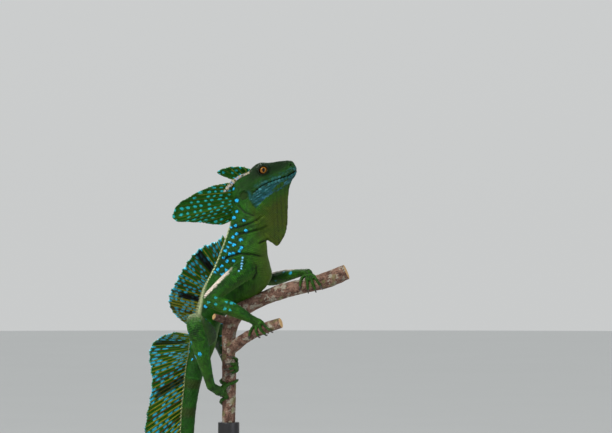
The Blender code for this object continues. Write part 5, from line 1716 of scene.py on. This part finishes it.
class Nodes:
    """A new material, to which nodes are added one by one."""

    def __init__(self, name):
        self.material = bpy.data.materials.new(name)
        self.material.use_nodes = True
        self.tree = self.material.node_tree

    def fill(self, node, **inputs):
        """Sets each named input of a node to a value, or wires it to another node's output."""
        for name, value in inputs.items():
            socket = node.inputs[name.replace("_", " ")]
            if isinstance(value, bpy.types.NodeSocket):
                self.tree.links.new(value, socket)
            else:
                socket.default_value = value

    def add(self, kind, output, settings=(), **inputs):
        """Adds a node and gives its named output."""
        node = self.tree.nodes.new("ShaderNode" + kind)
        for name, value in dict(settings).items():
            setattr(node, name, value)
        self.fill(node, **inputs)
        return node.outputs[output]

    def finish(self, colour, grain, low, high, relief, strength, depth, **inputs):
        """Sets the shader's colour, a roughness that follows the grain from low to high, and relief."""
        gloss = self.add("MapRange", "Result", Value=grain, To_Min=low, To_Max=high)
        normal = self.add("Bump", "Normal", Height=relief, Strength=strength, Distance=depth)
        shader = self.tree.nodes["Principled BSDF"]
        self.fill(shader, Base_Color=colour, Roughness=gloss, Normal=normal, **inputs)
        return self.material


def painted(name, roughness, detail, depth, coat=0.0, specular=0.5, contrast=0.25, vary=0.1):
    """A surface coloured by its own paint, with fine mottling, uneven gloss and a fine grain."""
    nodes = Nodes(name)
    paint = nodes.add("Attribute", "Color", dict(attribute_name="paint"))
    place = nodes.add("TexCoord", "Object")
    grain = nodes.add("TexNoise", "Fac", Vector=place, Scale=detail, Detail=4.0)
    fine = nodes.add("TexNoise", "Fac", Vector=place, Scale=detail * 3)
    spread = dict(From_Min=0.25, From_Max=0.75, To_Min=1 - contrast, To_Max=1 + contrast)
    tone = nodes.add("MapRange", "Result", Value=grain, **spread)
    colour = nodes.add("VectorMath", "Vector", dict(operation="SCALE"), Vector=paint, Scale=tone)
    gloss = dict(Coat_Weight=coat, Coat_Roughness=0.1, Specular_IOR_Level=specular)
    return nodes.finish(colour, grain, roughness - vary, roughness + vary, fine, 0.5, depth, **gloss)


def lacquer(name, dark, light, roughness, metallic, detail):
    """A plain made surface with faint cloudiness in its colour and gloss."""
    nodes = Nodes(name)
    place = nodes.add("TexCoord", "Object")
    grain = nodes.add("TexNoise", "Fac", Vector=place, Scale=detail, Detail=6.0)
    both = dict(A=(*srgb(dark), 1), B=(*srgb(light), 1))
    colour = nodes.add("Mix", "Result", dict(data_type="RGBA"), Factor=grain, **both)
    low, high = roughness - 0.08, roughness + 0.1
    return nodes.finish(colour, grain, low, high, grain, 0.15, 0.0002, Metallic=metallic)


# Stage


def area_light(name, place, aim, size, power, colour):
    light = bpy.data.lights.new(name, "AREA")
    light.size, light.energy, light.color = size, power, colour
    obj = added(name, light)
    obj.location = place
    obj.rotation_euler = (Vector(aim) - Vector(place)).to_track_quat("-Z", "Y").to_euler()


def make_sky():
    """A pale studio round about, a little darker below."""
    sky = bpy.data.worlds.new("studio")
    bpy.context.scene.world = sky
    sky.use_nodes = True
    links, nodes = sky.node_tree.links, sky.node_tree.nodes
    back = nodes["Background"]
    back.inputs["Color"].default_value = (*srgb("#eceeee"), 1)
    place, split = nodes.new("ShaderNodeTexCoord"), nodes.new("ShaderNodeSeparateXYZ")
    rise = nodes.new("ShaderNodeMapRange")
    rise.inputs["To Min"].default_value, rise.inputs["To Max"].default_value = 0.7, 0.94
    links.new(place.outputs["Generated"], split.inputs["Vector"])
    links.new(split.outputs["Z"], rise.inputs["Value"])
    links.new(rise.outputs["Result"], back.inputs["Strength"])


def make_stage():
    angles = np.linspace(0, 2 * math.pi, FLOOR_SIDES, endpoint=False)
    ring = [(math.cos(angle) * FLOOR_RADIUS, math.sin(angle) * FLOOR_RADIUS, 0) for angle in angles]
    mesh = bpy.data.meshes.new("floor")
    mesh.from_pydata(ring, [], [tuple(range(FLOOR_SIDES))])
    mesh.materials.append(lacquer("floor_paint", "#c5c7c7", "#cacccc", 0.9, 0.0, 3.0))
    added("floor", mesh)
    aim = (0.0, 0.0, 0.45)
    area_light("key", (-1.35, -1.95, 2.32), aim, 0.75, 82, (1.0, 0.97, 0.9))
    area_light("fill", (1.5, -1.4, 0.8), aim, 1.2, 8, (0.92, 0.96, 1.0))
    area_light("rim", (-0.9, 2.25, 2.02), aim, 1.2, 36, (1.0, 0.98, 0.94))
    make_sky()
    bpy.context.scene.view_settings.view_transform = "Standard"
    camera = bpy.data.cameras.new("camera")
    camera.lens, camera.sensor_width = LENS, SENSOR
    camera.clip_start, camera.clip_end = 0.05, 60
    obj = added("camera", camera)
    obj.location = (world([CAMERA_X, 0, CAMERA_Z])[0], -SHIFT_Y * MM - CAMERA_AWAY, CAMERA_Z * MM)
    obj.rotation_euler = (math.pi / 2, 0, 0)
    bpy.context.scene.camera = obj


def main():
    make_stage()
    skin_material = painted("skin_paint", 0.5, 700, 0.00012, specular=0.12)
    scale_material = painted("scale_paint", 0.4, 1500, 0.00005, coat=0.02, specular=0.17)
    fin_material = painted("fin_paint", 0.5, 900, 0.0001, specular=0.14)
    eye_material = painted("eye_paint", 0.12, 1200, 0.00001, coat=0.22, specular=0.1, contrast=0.1, vary=0.04)
    claw_material = painted("claw_paint", 0.3, 1500, 0.00004, coat=0.4)
    bark_material = painted("bark_paint", 0.85, 900, 0.0002, specular=0.2)
    base_material = lacquer("stand_lacquer", "#1b1b1d", "#232326", 0.42, 0.0, 40)
    rod_material = lacquer("stand_metal", "#2a2a2c", "#3a3a3d", 0.35, 0.7, 60)

    charts = body_charts()
    base, points, faces, places = make_skin_surface(charts)
    parts = parts_of(charts, places)
    # Darkened as painted shade in the gaps between scales
    colours = body_paint(parts, places[:, 1], places[:, 2], points) * SKIN_SHADE
    skin = piece("skin", points, faces, skin_material, "skin", colours)
    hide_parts(*SKIN_NODES)
    made = [skin] + make_coat(charts, surface(base, points, faces, parts), places, scale_material)
    for kind in FINS:
        web, coat = make_fin(kind, fin_material, scale_material)
        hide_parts(kind)
        made += [web, coat]
    for name, side in (("eye_right", -1.0), ("eye_left", 1.0)):
        eye = make_eye(name + "_ball", side, eye_material)
        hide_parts(name)
        made.append(eye)
    made.append(make_claws(claw_material))
    perch = make_perch(bark_material)
    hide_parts("perch")
    base, boss, rod = make_stand(base_material, rod_material)
    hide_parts("stand_base")
    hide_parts("stand_rod")
    made += [perch, base, boss, rod]
    for obj in made:
        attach(obj, "root")


main()
